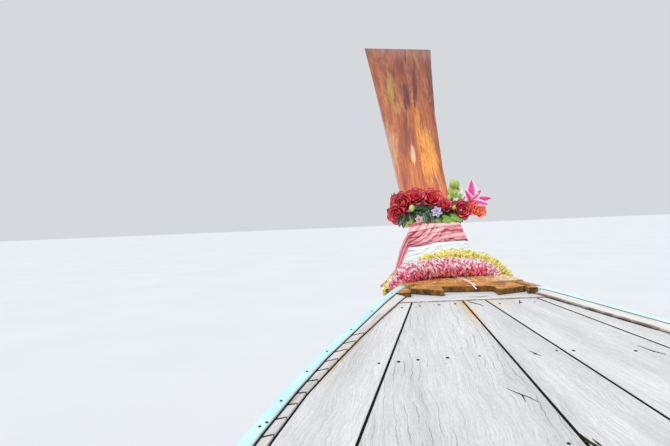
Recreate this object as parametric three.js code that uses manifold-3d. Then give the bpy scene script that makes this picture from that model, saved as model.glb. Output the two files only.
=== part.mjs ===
// A wooden longtail boat afloat: planked hull, foredeck with its raked prow post and
// dressing, open well with benches and a canopy, and a tilting engine with a long tail shaft.
// Millimetres. +X forward, +Y port, +Z up. The origin is on the waterline, amidships.
import * as THREE from "three";
import { mergeVertices } from "three/addons/utils/BufferGeometryUtils.js";
import Module from "manifold-3d";

const wasm = await Module();
wasm.setup();

// Fits
const SEAM = 0.3; // gap left between two pieces that touch
const GROW = 0.3; // how much a cutter is larger than the piece it stands for
const CAULKING = 3; // seam between two strakes

// Hull
const TRANSOM_X = -4550;
const HEAD_X = 3560; // fore end of the planking, where the prow timber starts
const PLANK = 28;
const KEEL_DEPTH = 60;
const STEM_X = 2500; // scarf between the keel and the stem
const STEM_DEPTH = 85;
const CAP_HEIGHT = 16; // top of the gunwale above the deck line
const CAP_DROP = 28; // underside of the gunwale below the deck line
const CAP_WIDTH = 28;
const BEYOND = 1100; // half width of a board before the hull's sides trim it
const LOWEST = -500; // foot of a board before the hull's bottom trims it
const TRANSOM = { aft: -4545, fore: -4500 };
const CAP_OVERHANG = 4;
const CAP_TIP_X = 3640;

// Foredeck
const DECK_FRONT_X = 3400;
const DECK_FRONT_Z = 980;
const DECK_SLOPE = Math.tan(THREE.MathUtils.degToRad(7));
const DECK_AFT_X = 1300;
const DECK_THICK = 25;
const MARGIN_RISE = { inner: 5, outer: 13 }; // its top above the deck, at its two edges
const MARGIN_SEAM = 3;
const MARGIN_END_X = 3518;
const DECK_BEAMS = { xs: [1325, 1750, 2100, 2450, 2800, 3150, 3330], long: 50, deep: 50 };
const CARLING = { aft: 1330, fore: 3470, half: 30, deep: 60 };
const BREAST_END_X = 3558;
const BREAST_RISE = 22;
// Breast timber in plan, port to starboard along its aft edge, then its fore edge
const BREAST_OUTLINE = [
  [3496, 187], [3472, 125], [3453, 80], [3503, 79], [3494, -16], [3490, -92], [3443, -94],
  [3455, -138], [3472, -197], [3486, -192], [BREAST_END_X, -150], [BREAST_END_X + 1, 150],
];

// Inside
const RIB_PITCH = 700;
const RIB_FIRST_X = -4050;
const RIB_COUNT = 11;
const RIB_WIDE = 45;
const RIB_DEEP = 45;
const SHELF_DROP = 75.6; // top of the beam shelf below the deck line
const RISER_DROP = 250; // top of the bench riser below the deck line
const STRINGER_DEEP = 40;
const STRINGER_THICK = 32;
// Stringers along the ribs: the foredeck's shelves, the after deck's and the bench risers
const STRINGERS = [
  { aft: 1240, fore: 3480, drop: SHELF_DROP },
  { aft: -4460, fore: -3640, drop: SHELF_DROP },
  { aft: -3600, fore: 1250, drop: RISER_DROP },
];
const KEELSON = { aft: -4450, fore: 3000, half: 40, sunk: 20 };
const BENCH_XS = [-2300, -1600, -900, -200, 500];
const BENCH_WIDE = 280;
const BENCH_THICK = 30;
const FLOOR = { aft: -3650, fore: 1250, rise: 100, thick: 20, clear: 3 };
const AFTER_DECK = { aft: -4499, fore: -3700 };

// Canopy
const CANOPY = {
  aft: -2480, fore: 1150, postXs: [-2250, -650, 950], postLong: 40, postWide: 28, railY: 900,
  railZ: 1830, railWide: 40, railHigh: 45, railInset: 60, bowPitch: 560, bowInset: [90, 130],
  bowLong: 40, bowDeep: 55, bowHalf: 935, roofRise: 70, crown: 150, eaves: 990, roofThick: 14,
};

// Engine and tail
const PIVOT = { x: -4250, z: 1000 };
const TAIL_ANGLE = THREE.MathUtils.degToRad(-8); // parked, the tail clear of the water
const BEAM_HALF = 80;
const BEAM_TOP = 690;
const SOCKET_TOP = 775;
const SOCKET = { plateHalf: 100, plateThick: 12, radius: 45, boreRadius: 24.8, boreFoot: 710 };
const YOKE = {
  long: 70, half: 150, thick: 20, armThick: 25, armHalf: 35, armFoot: 780, pinRadius: 24,
  pinFoot: 715, eyeRadius: 20.7,
};
// In the engine's own axes: a box is [x0, x1, y0, y1, z0, z1], a round part [from, to, radius, …]
const CRADLE = {
  aft: -160, fore: 780, half: 205, railY: 185, railHalf: 20, railDeep: 25, barLong: 40,
  plateLong: 20, plateHalf: 55, plateBore: 35.2, trunnion: { inner: 118, outer: 170, radius: 20 },
};
const CRANKCASE_BOXES = [
  [110, 600, -120, 120, -120, 120], // cylinders and crankcase
  [180, 560, -95, 95, -200, -110], // sump
  [150, 210, -205, 205, 25.3, 60], // after feet
  [500, 560, -205, 205, 25.3, 60], // fore feet
];
const CRANKCASE_ROUNDS = [
  [[115, 0, 0], [-60, 0, 0], 112, 20, 70], // bell housing
  [[595, 0, -20], [650, 0, -20], 85, 20], // crankshaft pulley
  [[560, 118, 60], [655, 118, 60], 52], // alternator
  [[595, 0, 90], [635, 0, 90], 60], // water pump pulley
];
const HEAD_BOX = [125, 590, -95, 95, 120.3, 215];
const COVER_BOX = [150, 565, -58, 58, 210, 285];
const MANIFOLD_BOX = [160, 560, 95.3, 140, 150, 200];
const EXHAUST_PATH = [[480, 130, 178], [250, 165, 190], [90, 172, 240], [20, 172, 420], [-40, 172, 620]];
const EXHAUST_RADIUS = 24;
const INTAKE_BOX = [290, 410, -190, -95.3, 150, 190];
const AIR_CLEANER = [[350, -190, 188], [350, -190, 300], 85, 20];
const TILLER_COLLAR = [[780.3, 0, 0], [810, 0, 0], 24];
const TILLER_PATH = [[785, 0, 0], [980, 0, -25], [1400, 0, -150], [1750, 0, -250]];
const TILLER_RADIUS = 18;
const TAIL_RADIUS = 34;
const TAIL = { fore: -60.3, aft: -3150, boreRadius: 16.6, boreDeep: 90 };
// Skeg in side view, from the tail tube's after end
const SKEG_THICK = 10;
const SKEG_OUTLINE = [
  [30, -60], [10, -235], [60, -250], [300, -110], [420, -TAIL_RADIUS - 1], [30, -TAIL_RADIUS - 1],
];
const PROPELLER = {
  hubFore: -20, hubAft: -130, hubRadius: 30, hubTip: 22, bladeX: -70, blades: 3, stubRadius: 16,
  stubFore: 80,
};
// Sections of a blade: [radius, half chord, half thickness, pitch in degrees]
const BLADE_SECTIONS = [[22, 26, 7, 58], [60, 40, 5, 42], [105, 46, 3.5, 30], [146, 22, 2, 24]];

// Lines of the hull, each a table of [x, value]
const HALF_BREADTH = [
  [-4550, 680], [-4000, 762], [-3000, 880], [-2000, 955], [-800, 985], [500, 938], [1500, 824],
  [2200, 704], [2640, 593], [2800, 543], [2900, 509], [3000, 470], [3100, 428], [3200, 386],
  [3300, 344], [3400, 301], [3455, 275], [3526, 240], [3640, 178],
];
const DECK_LINE = [
  [-4550, 622], [-3500, 572], [-2500, 548], [-1500, 548], [-500, 575], [500, 640], [1300, 722.1],
];
const KEEL_LINE = [
  [-4550, -40], [-3600, -130], [-2400, -205], [-1300, -241], [-650, -250], [-325, -250],
  [0, -250], [325, -250], [650, -250], [1200, -238], [2000, -180], [2600, -70], [3000, 75],
  [3300, 290], [3560, 555],
];
const STEM_HALF = [[-4550, 45], [2400, 45], [3000, 60], [3300, 75], [3560, 88]];
const DECK_EDGES = {
  port: [
    [1300, 800], [2200, 656], [2640, 547], [2800, 499], [2900, 460], [3000, 420], [3100, 378],
    [3200, 333], [3300, 287], [3400, 239], [3455, 212], [3600, 140],
  ],
  starboard: [
    [1300, 790], [2200, 642], [2640, 533], [2800, 484], [2900, 447], [3000, 407], [3100, 364],
    [3200, 321], [3300, 279], [3400, 237], [3455, 210], [3600, 140],
  ],
};
// Knuckles between the strakes, as [share of the breadth, share of the height]
const MIDSHIP_KNUCKLES = [[0.62, 0.1], [0.92, 0.45]];
const BOW_KNUCKLES = [[0.36, 0.27], [0.7, 0.62]];
// Seams of the foredeck, port to starboard, each a table of [x, y]
const DECK_SEAMS = [
  [[1300, 648], [2300, 498], [2630, 408], [3400, 198]],
  [[1300, 80], [2630, 51], [3400, 35]],
  [[1300, -250], [2630, -122], [3400, -38]],
  [[1300, -600], [2965, -323], [3400, -203]],
];
const DECK_SEAM_GAP = 5;

// Prow timber: [fore x, fore z, fore half width, aft x, aft z, aft half width, and where the timber
// was adzed unevenly, its shift to port and the rise of its port side]
const PROW = [
  [3560.3, 470, 88, 3560.3, 1019.5, 224],
  [3700, 628, 88, 3640, 1034, 172],
  [3830, 778, 84, 3770, 1058, 152],
  [3950, 908, 80, 3870, 1088, 140],
  [4060, 1028, 76, 3955, 1130, 128, -12],
  [4165, 1142, 80, 4045, 1203, 112, -18],
  [4291, 1289, 98, 4194, 1360, 112, -9],
  [4405, 1440, 106, 4316, 1510, 121, -3],
  [4655, 1790, 136, 4580, 1862, 151],
  [4880, 2150, 174, 4812, 2200, 190],
  [4962, 2320, 192, 4915, 2358, 212, 1, 14],
];

// Dressing of the prow
const SASH_LEAN = 40; // how far the cloths' windings lean forward, in degrees
const SASH_FOOT = { x: 4000, z: 1150 };
const SASH_WHITE = { thick: 10, low: -120, high: -22 };
const SASH_PINK = { thick: 14, low: -21, high: 102 };
// Loose end of the pink cloth, hung down the port side: its upper and its lower edge
const SASH_FLAP = [
  [[3985, 106, 1150], [4075, 96, 1190], [4075, 112, 1190], [3985, 124, 1150]],
  [[3915, 152, 1075], [4005, 152, 1085], [4005, 164, 1085], [3915, 164, 1075]],
  [[3875, 177, 1035], [3965, 177, 1040], [3965, 189, 1040], [3875, 189, 1035]],
];
const PINK_RADIUS = 42;
const PINK_PATH = [
  [3592, 204, 1012], [3600, 198, 1038], [3612, 165, 1058], [3623, 110, 1065], [3632, 52, 1066],
  [3640, -5, 1065], [3648, -62, 1060], [3655, -112, 1049], [3659, -146, 1034], [3661, -162, 1014],
];
const YELLOW_RADIUS = 33;
const YELLOW_PATH = [
  [3654, 247, 985], [3667, 233, 1012], [3691, 184, 1047], [3706, 140, 1069], [3717, 84, 1085],
  [3725, 28, 1094], [3728, -28, 1097], [3730, -82, 1090], [3732, -134, 1075], [3733, -172, 1054],
  [3729, -203, 1030], [3723, -222, 1004], [3716, -230, 978],
];
const WREATH = { x: 4222, y: -48, z: 1317, long: 175, wide: 238, deep: 160 };

// Materials
const finish = (color, roughness, metalness = 0) =>
  new THREE.MeshStandardMaterial({ color, roughness, metalness });
const silveredWood = finish(0xcfc8bd, 0.85);
const agedWood = finish(0xa98f74, 0.8);
const varnishedWood = finish(0xa9562a, 0.4);
const paintedHull = finish(0x7a3f22, 0.55);
const aquaPaint = finish(0xbfe3e4, 0.6);
const whitePaint = finish(0xe9ecea, 0.6);
const steel = finish(0x8b8f92, 0.45, 0.9);
const castIron = finish(0x3c5a48, 0.6, 0.4);
const brass = finish(0xb9903f, 0.35, 0.9);
const pinkCloth = finish(0xc94f5f, 0.85);
const whiteCloth = finish(0xd9dee2, 0.85);
const yellowGarland = finish(0xf1d64a, 0.9);
const pinkGarland = finish(0xe0557a, 0.9);
const roses = finish(0xb01a2b, 0.8);

const boat = new THREE.Group();

// Value of a table of [x, value] at x, on a smooth curve through its rows
function lineAt(rows, x) {
  const last = rows.length - 1;
  let i = 0;
  while (i < last - 1 && x > rows[i + 1][0]) i += 1;
  const slope = (k) => {
    const a = Math.max(0, k - 1);
    const b = Math.min(last, k + 1);
    return (rows[b][1] - rows[a][1]) / (rows[b][0] - rows[a][0]);
  };
  const [x0, v0] = rows[i];
  const [x1, v1] = rows[i + 1];
  const span = x1 - x0;
  const t = (x - x0) / span;
  if (t < 0 || t > 1) return v0 + ((v1 - v0) * (x - x0)) / span;
  const t2 = t * t;
  const t3 = t2 * t;
  return (
    (2 * t3 - 3 * t2 + 1) * v0 +
    (t3 - 2 * t2 + t) * span * slope(i) +
    (3 * t2 - 2 * t3) * v1 +
    (t3 - t2) * span * slope(i + 1)
  );
}

// Places from a to b, both kept, no further apart than step
function stations(a, b, step) {
  const count = Math.max(1, Math.ceil(Math.abs(b - a) / step));
  return Array.from({ length: count + 1 }, (_, i) => a + ((b - a) * i) / count);
}

const DECK_XS = [...stations(DECK_AFT_X, DECK_FRONT_X, 150), 3460, MARGIN_END_X];
const HULL_XS = [...stations(TRANSOM_X, DECK_AFT_X, 330).slice(0, -1), ...DECK_XS, HEAD_X];

// The hull is built of straight lengths between its stations, so each line runs straight between them
function faceted(xs, line) {
  const values = xs.map(line);
  return (x) => {
    const found = xs.findIndex((next) => next >= x);
    const i = found < 0 ? xs.length - 1 : Math.max(found, 1);
    return values[i - 1] + ((values[i] - values[i - 1]) * (x - xs[i - 1])) / (xs[i] - xs[i - 1]);
  };
}

const CAP_XS = [...HULL_XS, 3600, CAP_TIP_X];
const straightDeck = (x) => DECK_FRONT_Z + (x - DECK_FRONT_X) * DECK_SLOPE;
const deckLine = faceted(CAP_XS, (x) => (x > DECK_AFT_X ? straightDeck(x) : lineAt(DECK_LINE, x)));
const halfBreadth = faceted(CAP_XS, (x) => lineAt(HALF_BREADTH, x));
const deckEdges = {
  port: faceted(CAP_XS, (x) => lineAt(DECK_EDGES.port, x)),
  starboard: faceted(CAP_XS, (x) => lineAt(DECK_EDGES.starboard, x)),
};
const keelLine = faceted(HULL_XS, (x) => lineAt(KEEL_LINE, x));
const stemHalf = faceted(HULL_XS, (x) => (x < 2400 ? 45 : lineAt(STEM_HALF, x)));

// The hull's stations between a and b, with a and b themselves
const between = (a, b, xs = HULL_XS) => [a, ...xs.filter((x) => x > a && x < b), b];

function solidOf(geometry) {
  const bare = new THREE.BufferGeometry().setAttribute("position", geometry.getAttribute("position"));
  if (geometry.index) bare.setIndex(geometry.index);
  const merged = mergeVertices(bare, 1e-3);
  const index = new Uint32Array(merged.index.array);
  const make = () =>
    new wasm.Manifold(
      new wasm.Mesh({
        numProp: 3,
        vertProperties: new Float32Array(merged.attributes.position.array),
        triVerts: index,
      }),
    );
  const made = make();
  if (made.volume() > 0) return made;
  for (let i = 0; i < index.length; i += 3) [index[i + 1], index[i + 2]] = [index[i + 2], index[i + 1]];
  return make();
}

function geometryOf(solid) {
  const { vertProperties, triVerts } = solid.getMesh();
  const geometry = new THREE.BufferGeometry();
  geometry.setAttribute("position", new THREE.BufferAttribute(vertProperties, 3));
  geometry.setIndex(new THREE.BufferAttribute(triVerts, 1));
  const flat = geometry.toNonIndexed();
  flat.computeVertexNormals();
  return flat;
}

// Skin over a row of loops with the same number of points, closed by a face at each end.
// From the side mirroredFrom on, each square is split along its other diagonal, so both halves match.
function loft(loops, capOf = fanCap, mirroredFrom = Infinity) {
  const size = loops[0].length;
  const index = [];
  for (let row = 0; row < loops.length - 1; row += 1) {
    for (let k = 0; k < size; k += 1) {
      const a = row * size + k;
      const b = row * size + ((k + 1) % size);
      if (k < mirroredFrom) index.push(a, b, b + size, a, b + size, a + size);
      else index.push(a, b, a + size, b, b + size, a + size);
    }
  }
  const endStart = (loops.length - 1) * size;
  for (const [a, b, c] of capOf(loops[0])) {
    index.push(c, b, a, endStart + a, endStart + b, endStart + c);
  }
  const geometry = new THREE.BufferGeometry();
  geometry.setAttribute("position", new THREE.Float32BufferAttribute(loops.flat(2), 3));
  geometry.setIndex(index);
  return solidOf(geometry);
}

function fanCap(loop) {
  return Array.from({ length: loop.length - 2 }, (_, i) => [0, i + 1, i + 2]);
}

// End face of a notched outline that lies in the plane of two of the axes
const notchedCap = (u, v) => (loop) => {
  const outline = loop.map((point) => new THREE.Vector2(point[u], point[v]));
  const turn = THREE.ShapeUtils.isClockWise(outline);
  return THREE.ShapeUtils.triangulateShape(outline, []).map(([a, b, c]) => {
    const clockwise = THREE.ShapeUtils.isClockWise([outline[a], outline[b], outline[c]]);
    return clockwise === turn ? [a, b, c] : [a, c, b];
  });
};

function box(x0, x1, y0, y1, z0, z1) {
  const geometry = new THREE.BoxGeometry(x1 - x0, y1 - y0, z1 - z0);
  return solidOf(geometry.translate((x0 + x1) / 2, (y0 + y1) / 2, (z0 + z1) / 2));
}

// Round bar from one point to another
function rod(from, to, radius, sides = 16, endRadius = radius) {
  const start = new THREE.Vector3(...from);
  const way = new THREE.Vector3(...to).sub(start);
  const geometry = new THREE.CylinderGeometry(endRadius, radius, way.length(), sides);
  geometry.translate(0, way.length() / 2, 0);
  geometry.applyQuaternion(
    new THREE.Quaternion().setFromUnitVectors(new THREE.Vector3(0, 1, 0), way.clone().normalize()),
  );
  return solidOf(geometry.translate(...from));
}

// Round tube bent along a few points
function bentBar(points, radius, steps = 12) {
  const path = new THREE.CatmullRomCurve3(points.map((p) => new THREE.Vector3(...p)));
  const section = new THREE.Shape().absarc(0, 0, radius, 0, Math.PI * 2);
  return solidOf(new THREE.ExtrudeGeometry(section, { steps, extrudePath: path, curveSegments: 5 }));
}

const joined = (solids) => solids.reduce((sum, next) => sum.add(next));

// Long member along the hull: at each x a rectangle of [y0, y1, z0, z1]
function member(xs, rectangleAt) {
  return loft(
    xs.map((x) => {
      const [y0, y1, z0, z1] = rectangleAt(x);
      return [[x, y0, z0], [x, y1, z0], [x, y1, z1], [x, y0, z1]];
    }),
  );
}

function place(name, solid, material, group = boat) {
  const mesh = new THREE.Mesh(geometryOf(solid), material);
  mesh.name = name;
  group.add(mesh);
  return mesh;
}

const SIDES = [["port", 1], ["starboard", -1]];

// Hull section at x: the outer corners of the strakes, keel to gunwale, on the port side
function outerCorners(x) {
  const ease = THREE.MathUtils.smoothstep(x, 900, 3200);
  const y0 = stemHalf(x) + SEAM;
  const z0 = keelLine(x);
  const y1 = halfBreadth(x) - CAP_OVERHANG;
  const z1 = deckLine(x) - CAP_DROP - SEAM;
  const knuckles = MIDSHIP_KNUCKLES.map(([u, w], i) => [
    y0 + (y1 - y0) * THREE.MathUtils.lerp(u, BOW_KNUCKLES[i][0], ease),
    z0 + (z1 - z0) * THREE.MathUtils.lerp(w, BOW_KNUCKLES[i][1], ease),
  ]);
  return [[y0, z0], ...knuckles, [y1, z1]];
}

// The same corners moved into the hull by a depth, with the ends kept on the keel and the gunwale
function innerCorners(x, depth) {
  const outer = outerCorners(x);
  const normals = outer.slice(1).map(([y, z], i) => {
    const run = [y - outer[i][0], z - outer[i][1]];
    const length = Math.hypot(...run);
    return [-run[1] / length, run[0] / length];
  });
  return outer.map(([y, z], i) => {
    if (i === 0) return [y, z + depth / normals[0][1]];
    if (i === outer.length - 1) return [y + depth / normals[i - 1][0], z];
    const [a, b] = [normals[i - 1], normals[i]];
    const spread = 1 + a[0] * b[0] + a[1] * b[1];
    return [y + (depth * (a[0] + b[0])) / spread, z + (depth * (a[1] + b[1])) / spread];
  });
}

// One strake: its outer and inner faces between two corners of the section
function strake(row, side) {
  return loft(
    HULL_XS.map((x) => {
      const outer = outerCorners(x);
      const inner = innerCorners(x, PLANK);
      const [low, high] = [outer[row], outer[row + 1]];
      const share = CAULKING / 2 / Math.hypot(high[0] - low[0], high[1] - low[1]);
      const onFace = (line, t) => [
        x,
        side * THREE.MathUtils.lerp(line[row][0], line[row + 1][0], t),
        THREE.MathUtils.lerp(line[row][1], line[row + 1][1], t),
      ];
      return [onFace(inner, share), onFace(inner, 1 - share), onFace(outer, 1 - share), onFace(outer, share)];
    }),
  );
}

// The space inside the hull, from the transom to the prow, less a depth all round.
// lift raises its top above the planking's edge.
function insideHull(depth, lift = 0) {
  const loops = HULL_XS.map((x) => {
    const corners = innerCorners(x, depth);
    const port = corners.map(([y, z], i) => [x, Math.max(y, 5), i === 3 ? z + lift : z]);
    return [...port, ...port.map(([, y, z]) => [x, -y, z]).reverse()];
  });
  return loft(loops, fanCap, 4);
}

// Gunwale: a painted strip along the top of the planking, running on past the prow timber's root
function gunwale(side, grow = 0) {
  return member([TRANSOM_X - grow, ...CAP_XS.slice(1, -1), CAP_TIP_X + grow], (x) => {
    const outer = side * (halfBreadth(x) + grow);
    const inner = side * (halfBreadth(x) - CAP_WIDTH - grow);
    return [outer, inner, deckLine(x) - CAP_DROP - grow, deckLine(x) + CAP_HEIGHT + grow];
  });
}

// Prow timber: the block that the planks run into, drawn up into the raked post
function prowTimber(grow = 0, from = 0) {
  const chamfer = 14;
  const loops = PROW.slice(from).map(([fx, fz, fw, ax, az, aw, shift = 0, rise = 0]) => {
    const along = new THREE.Vector2(ax - fx, az - fz).normalize();
    const half = [
      [fx - along.x * grow, fw - chamfer + grow, fz - along.y * grow],
      [fx + along.x * (chamfer - grow), fw + grow, fz + along.y * (chamfer - grow)],
      [ax + along.x * grow, aw + grow, az + along.y * grow],
    ];
    const port = half.map(([x, y, z]) => [x, y + shift, z + (rise * y) / aw]);
    return [...port, ...half.map(([x, y, z]) => [x, shift - y, z - (rise * y) / aw]).reverse()];
  });
  return loft(loops, fanCap, 3);
}

function addHull() {
  place(
    "keel",
    member(between(TRANSOM_X, STEM_X), (x) => [
      -stemHalf(x),
      stemHalf(x),
      keelLine(x) - KEEL_DEPTH,
      keelLine(x) + PLANK - 2,
    ]),
    paintedHull,
  );
  place(
    "stem",
    member(between(STEM_X + SEAM, HEAD_X), (x) => [
      -stemHalf(x),
      stemHalf(x),
      keelLine(x) - THREE.MathUtils.mapLinear(x, STEM_X, HEAD_X, KEEL_DEPTH, STEM_DEPTH),
      keelLine(x) + PLANK - 2,
    ]),
    paintedHull,
  );
  ["garboard", "bilge_strake", "sheer_strake"].forEach((name, row) => {
    for (const [sideName, side] of SIDES) place(`${name}_${sideName}`, strake(row, side), paintedHull);
  });
  for (const [sideName, side] of SIDES) place(`gunwale_${sideName}`, gunwale(side), aquaPaint);
  const transom = box(TRANSOM.aft, TRANSOM.fore, -BEYOND, BEYOND, LOWEST, BEYOND);
  place("transom", transom.intersect(insideHull(PLANK + SEAM)), paintedHull);
  place(
    "prow_post",
    SIDES.reduce((timber, [, side]) => timber.subtract(gunwale(side, GROW)), prowTimber()),
    varnishedWood,
  );
}

// Ribs, keelson, beam shelves and bench risers, fastened to each other and to the planking
function addFraming() {
  const inside = insideHull(PLANK + SEAM);
  const hollow = insideHull(PLANK + RIB_DEEP);
  const ribXs = Array.from({ length: RIB_COUNT }, (_, i) => RIB_FIRST_X + i * RIB_PITCH);
  const ribs = joined(ribXs.map((x) => box(x, x + RIB_WIDE, -BEYOND, BEYOND, LOWEST, BEYOND)));
  const below = member(HULL_XS, (x) => [-BEYOND, BEYOND, LOWEST, deckLine(x) - SHELF_DROP]);
  const keelson = member(between(KEELSON.aft, KEELSON.fore), (x) => [
    -KEELSON.half,
    KEELSON.half,
    keelLine(x) - KEELSON.sunk,
    keelLine(x) + FLOOR.rise - SEAM,
  ]);
  const stringers = STRINGERS.map(({ aft, fore, drop }) => {
    const band = member(between(aft, fore), (x) => [
      -BEYOND,
      BEYOND,
      deckLine(x) - drop - STRINGER_DEEP,
      deckLine(x) - drop,
    ]);
    return band.subtract(insideHull(PLANK + STRINGER_THICK));
  });
  const frames = ribs.subtract(hollow).intersect(below);
  place("framing", joined([frames, keelson, ...stringers]).intersect(inside), agedWood);
}

const deckSlab = (xs, edges, low, high) =>
  member(xs, (x) => [...edges(x), deckLine(x) + low, deckLine(x) + high]);

function addForedeck() {
  const width = (x) => [-deckEdges.starboard(x), deckEdges.port(x)];
  const field = deckSlab(between(DECK_AFT_X, DECK_FRONT_X), width, -DECK_THICK, 0);
  const outside = (y) => [[DECK_AFT_X, y], [DECK_FRONT_X, y]];
  const edges = [outside(2 * BEYOND), ...DECK_SEAMS, outside(-2 * BEYOND)];
  const stripXs = [DECK_AFT_X - 1, 1800, 2300, 2630, 2965, DECK_FRONT_X + 1];
  for (let i = 0; i + 1 < edges.length; i += 1) {
    const strip = member(stripXs, (x) => [
      lineAt(edges[i], x) - DECK_SEAM_GAP / 2,
      lineAt(edges[i + 1], x) + DECK_SEAM_GAP / 2,
      0,
      2 * BEYOND,
    ]);
    place(`deck_plank_${i + 1}`, field.intersect(strip), silveredWood);
  }
  for (const [sideName, side] of SIDES) {
    const board = loft(
      between(DECK_AFT_X, MARGIN_END_X).map((x) => {
        const inner = side * (deckEdges[sideName](x) + MARGIN_SEAM);
        const outer = side * (halfBreadth(x) - CAP_WIDTH - MARGIN_SEAM);
        const z = deckLine(x);
        return [
          [x, inner, z - DECK_THICK], [x, outer, z - DECK_THICK],
          [x, outer, z + MARGIN_RISE.outer], [x, inner, z + MARGIN_RISE.inner],
        ];
      }),
    );
    place(`margin_${sideName}`, board, agedWood);
  }
  const boardEdges = (x) => width(x).map((y) => Math.sign(y) * (Math.abs(y) - 1));
  place(
    "front_board",
    deckSlab(between(DECK_FRONT_X + 3, BREAST_END_X), boardEdges, -DECK_THICK, 1),
    silveredWood,
  );
  const { xs, long, deep } = DECK_BEAMS;
  const beams = xs.map((x) =>
    deckSlab([x, x + long], () => [-BEYOND, BEYOND], -DECK_THICK - deep, -DECK_THICK - SEAM),
  );
  const { aft, fore, half } = CARLING;
  const carling = deckSlab(
    [aft, fore],
    () => [-half, half],
    -DECK_THICK - CARLING.deep,
    -DECK_THICK - SEAM,
  );
  const underDeck = insideHull(PLANK + SEAM, CAP_DROP - DECK_THICK);
  place("deck_beams", joined([...beams, carling]).intersect(underDeck), agedWood);
}

// Notched timber across the deck's fore end, its aft edge in three steps
function addBreastTimber() {
  const loopAt = (rise) => BREAST_OUTLINE.map(([x, y]) => [x, y, straightDeck(x) + rise]);
  const timber = loft([loopAt(1 + SEAM), loopAt(BREAST_RISE)], notchedCap(0, 1));
  place("breast_timber", timber, varnishedWood);
}

function addInside() {
  const inside = insideHull(PLANK + SEAM);
  BENCH_XS.forEach((x, i) => {
    const board = deckSlab(
      [x - BENCH_WIDE / 2, x + BENCH_WIDE / 2],
      () => [-BEYOND, BEYOND],
      SEAM - RISER_DROP,
      BENCH_THICK - RISER_DROP,
    );
    place(`bench_${i + 1}`, board.intersect(inside), agedWood);
  });
  const floor = member(between(FLOOR.aft, FLOOR.fore), (x) => [
    -BEYOND,
    BEYOND,
    keelLine(x) + FLOOR.rise,
    keelLine(x) + FLOOR.rise + FLOOR.thick,
  ]);
  place("floorboards", floor.intersect(insideHull(PLANK + RIB_DEEP + FLOOR.clear)), agedWood);
  const afterDeck = deckSlab(
    between(AFTER_DECK.aft, AFTER_DECK.fore),
    () => [-BEYOND, BEYOND],
    SEAM - SHELF_DROP,
    -CAP_DROP - 2 * SEAM,
  );
  place("after_deck", afterDeck.intersect(inside), agedWood);
}

// Six posts on the gunwales, a cambered frame and its roof
function addCanopy() {
  const { aft, fore, railZ, eaves } = CANOPY;
  const [long, wide] = [CANOPY.postLong / 2, CANOPY.postWide / 2];
  for (const [sideName, side] of SIDES) {
    CANOPY.postXs.forEach((x, i) => {
      const ring = (y, z, tilt) => [
        [x - long, y - wide, z], [x + long, y - wide, z + tilt],
        [x + long, y + wide, z + tilt], [x - long, y + wide, z],
      ];
      const foot = deckLine(x - long) + CAP_HEIGHT + 2 * SEAM;
      const rise = deckLine(x + long) - deckLine(x - long);
      const footY = side * (halfBreadth(x) - wide - 1);
      const rings = [ring(footY, foot, rise), ring(side * CANOPY.railY, railZ - SEAM, 0)];
      place(`canopy_post_${sideName}_${i + 1}`, loft(rings), varnishedWood);
    });
  }
  const roofYs = stations(-eaves, eaves, 170);
  const roofZ = faceted(
    roofYs,
    (y) => railZ + CANOPY.roofRise + CANOPY.crown * (1 - (y / eaves) ** 2),
  );
  const archBetween = (x0, x1, half, low, high) => {
    const ys = between(-half, half, roofYs);
    const loopAt = (x) => [
      ...ys.map((y) => [x, y, roofZ(y) + high]),
      ...ys.map((y) => [x, y, roofZ(y) + low]).reverse(),
    ];
    return loft([loopAt(x0), loopAt(x1)], (loop) =>
      ys.slice(1).flatMap((_, i) => {
        const j = loop.length - 1 - i;
        return [[i, i + 1, j], [i + 1, j - 1, j]];
      }),
    );
  };
  const rails = SIDES.map(([, side]) => {
    const [y, half, inset] = [side * CANOPY.railY, CANOPY.railWide / 2, CANOPY.railInset];
    return box(aft + inset, fore - inset, y - half, y + half, railZ, railZ + CANOPY.railHigh);
  });
  const [aftInset, foreInset] = CANOPY.bowInset;
  const bows = stations(aft + aftInset, fore - foreInset, CANOPY.bowPitch).map((x) =>
    archBetween(x, x + CANOPY.bowLong, CANOPY.bowHalf, -CANOPY.bowDeep, -SEAM),
  );
  place("canopy_frame", joined([...rails, ...bows]), varnishedWood);
  place("canopy_roof", archBetween(aft, fore, eaves, 0, CANOPY.roofThick), whitePaint);
}

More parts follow.
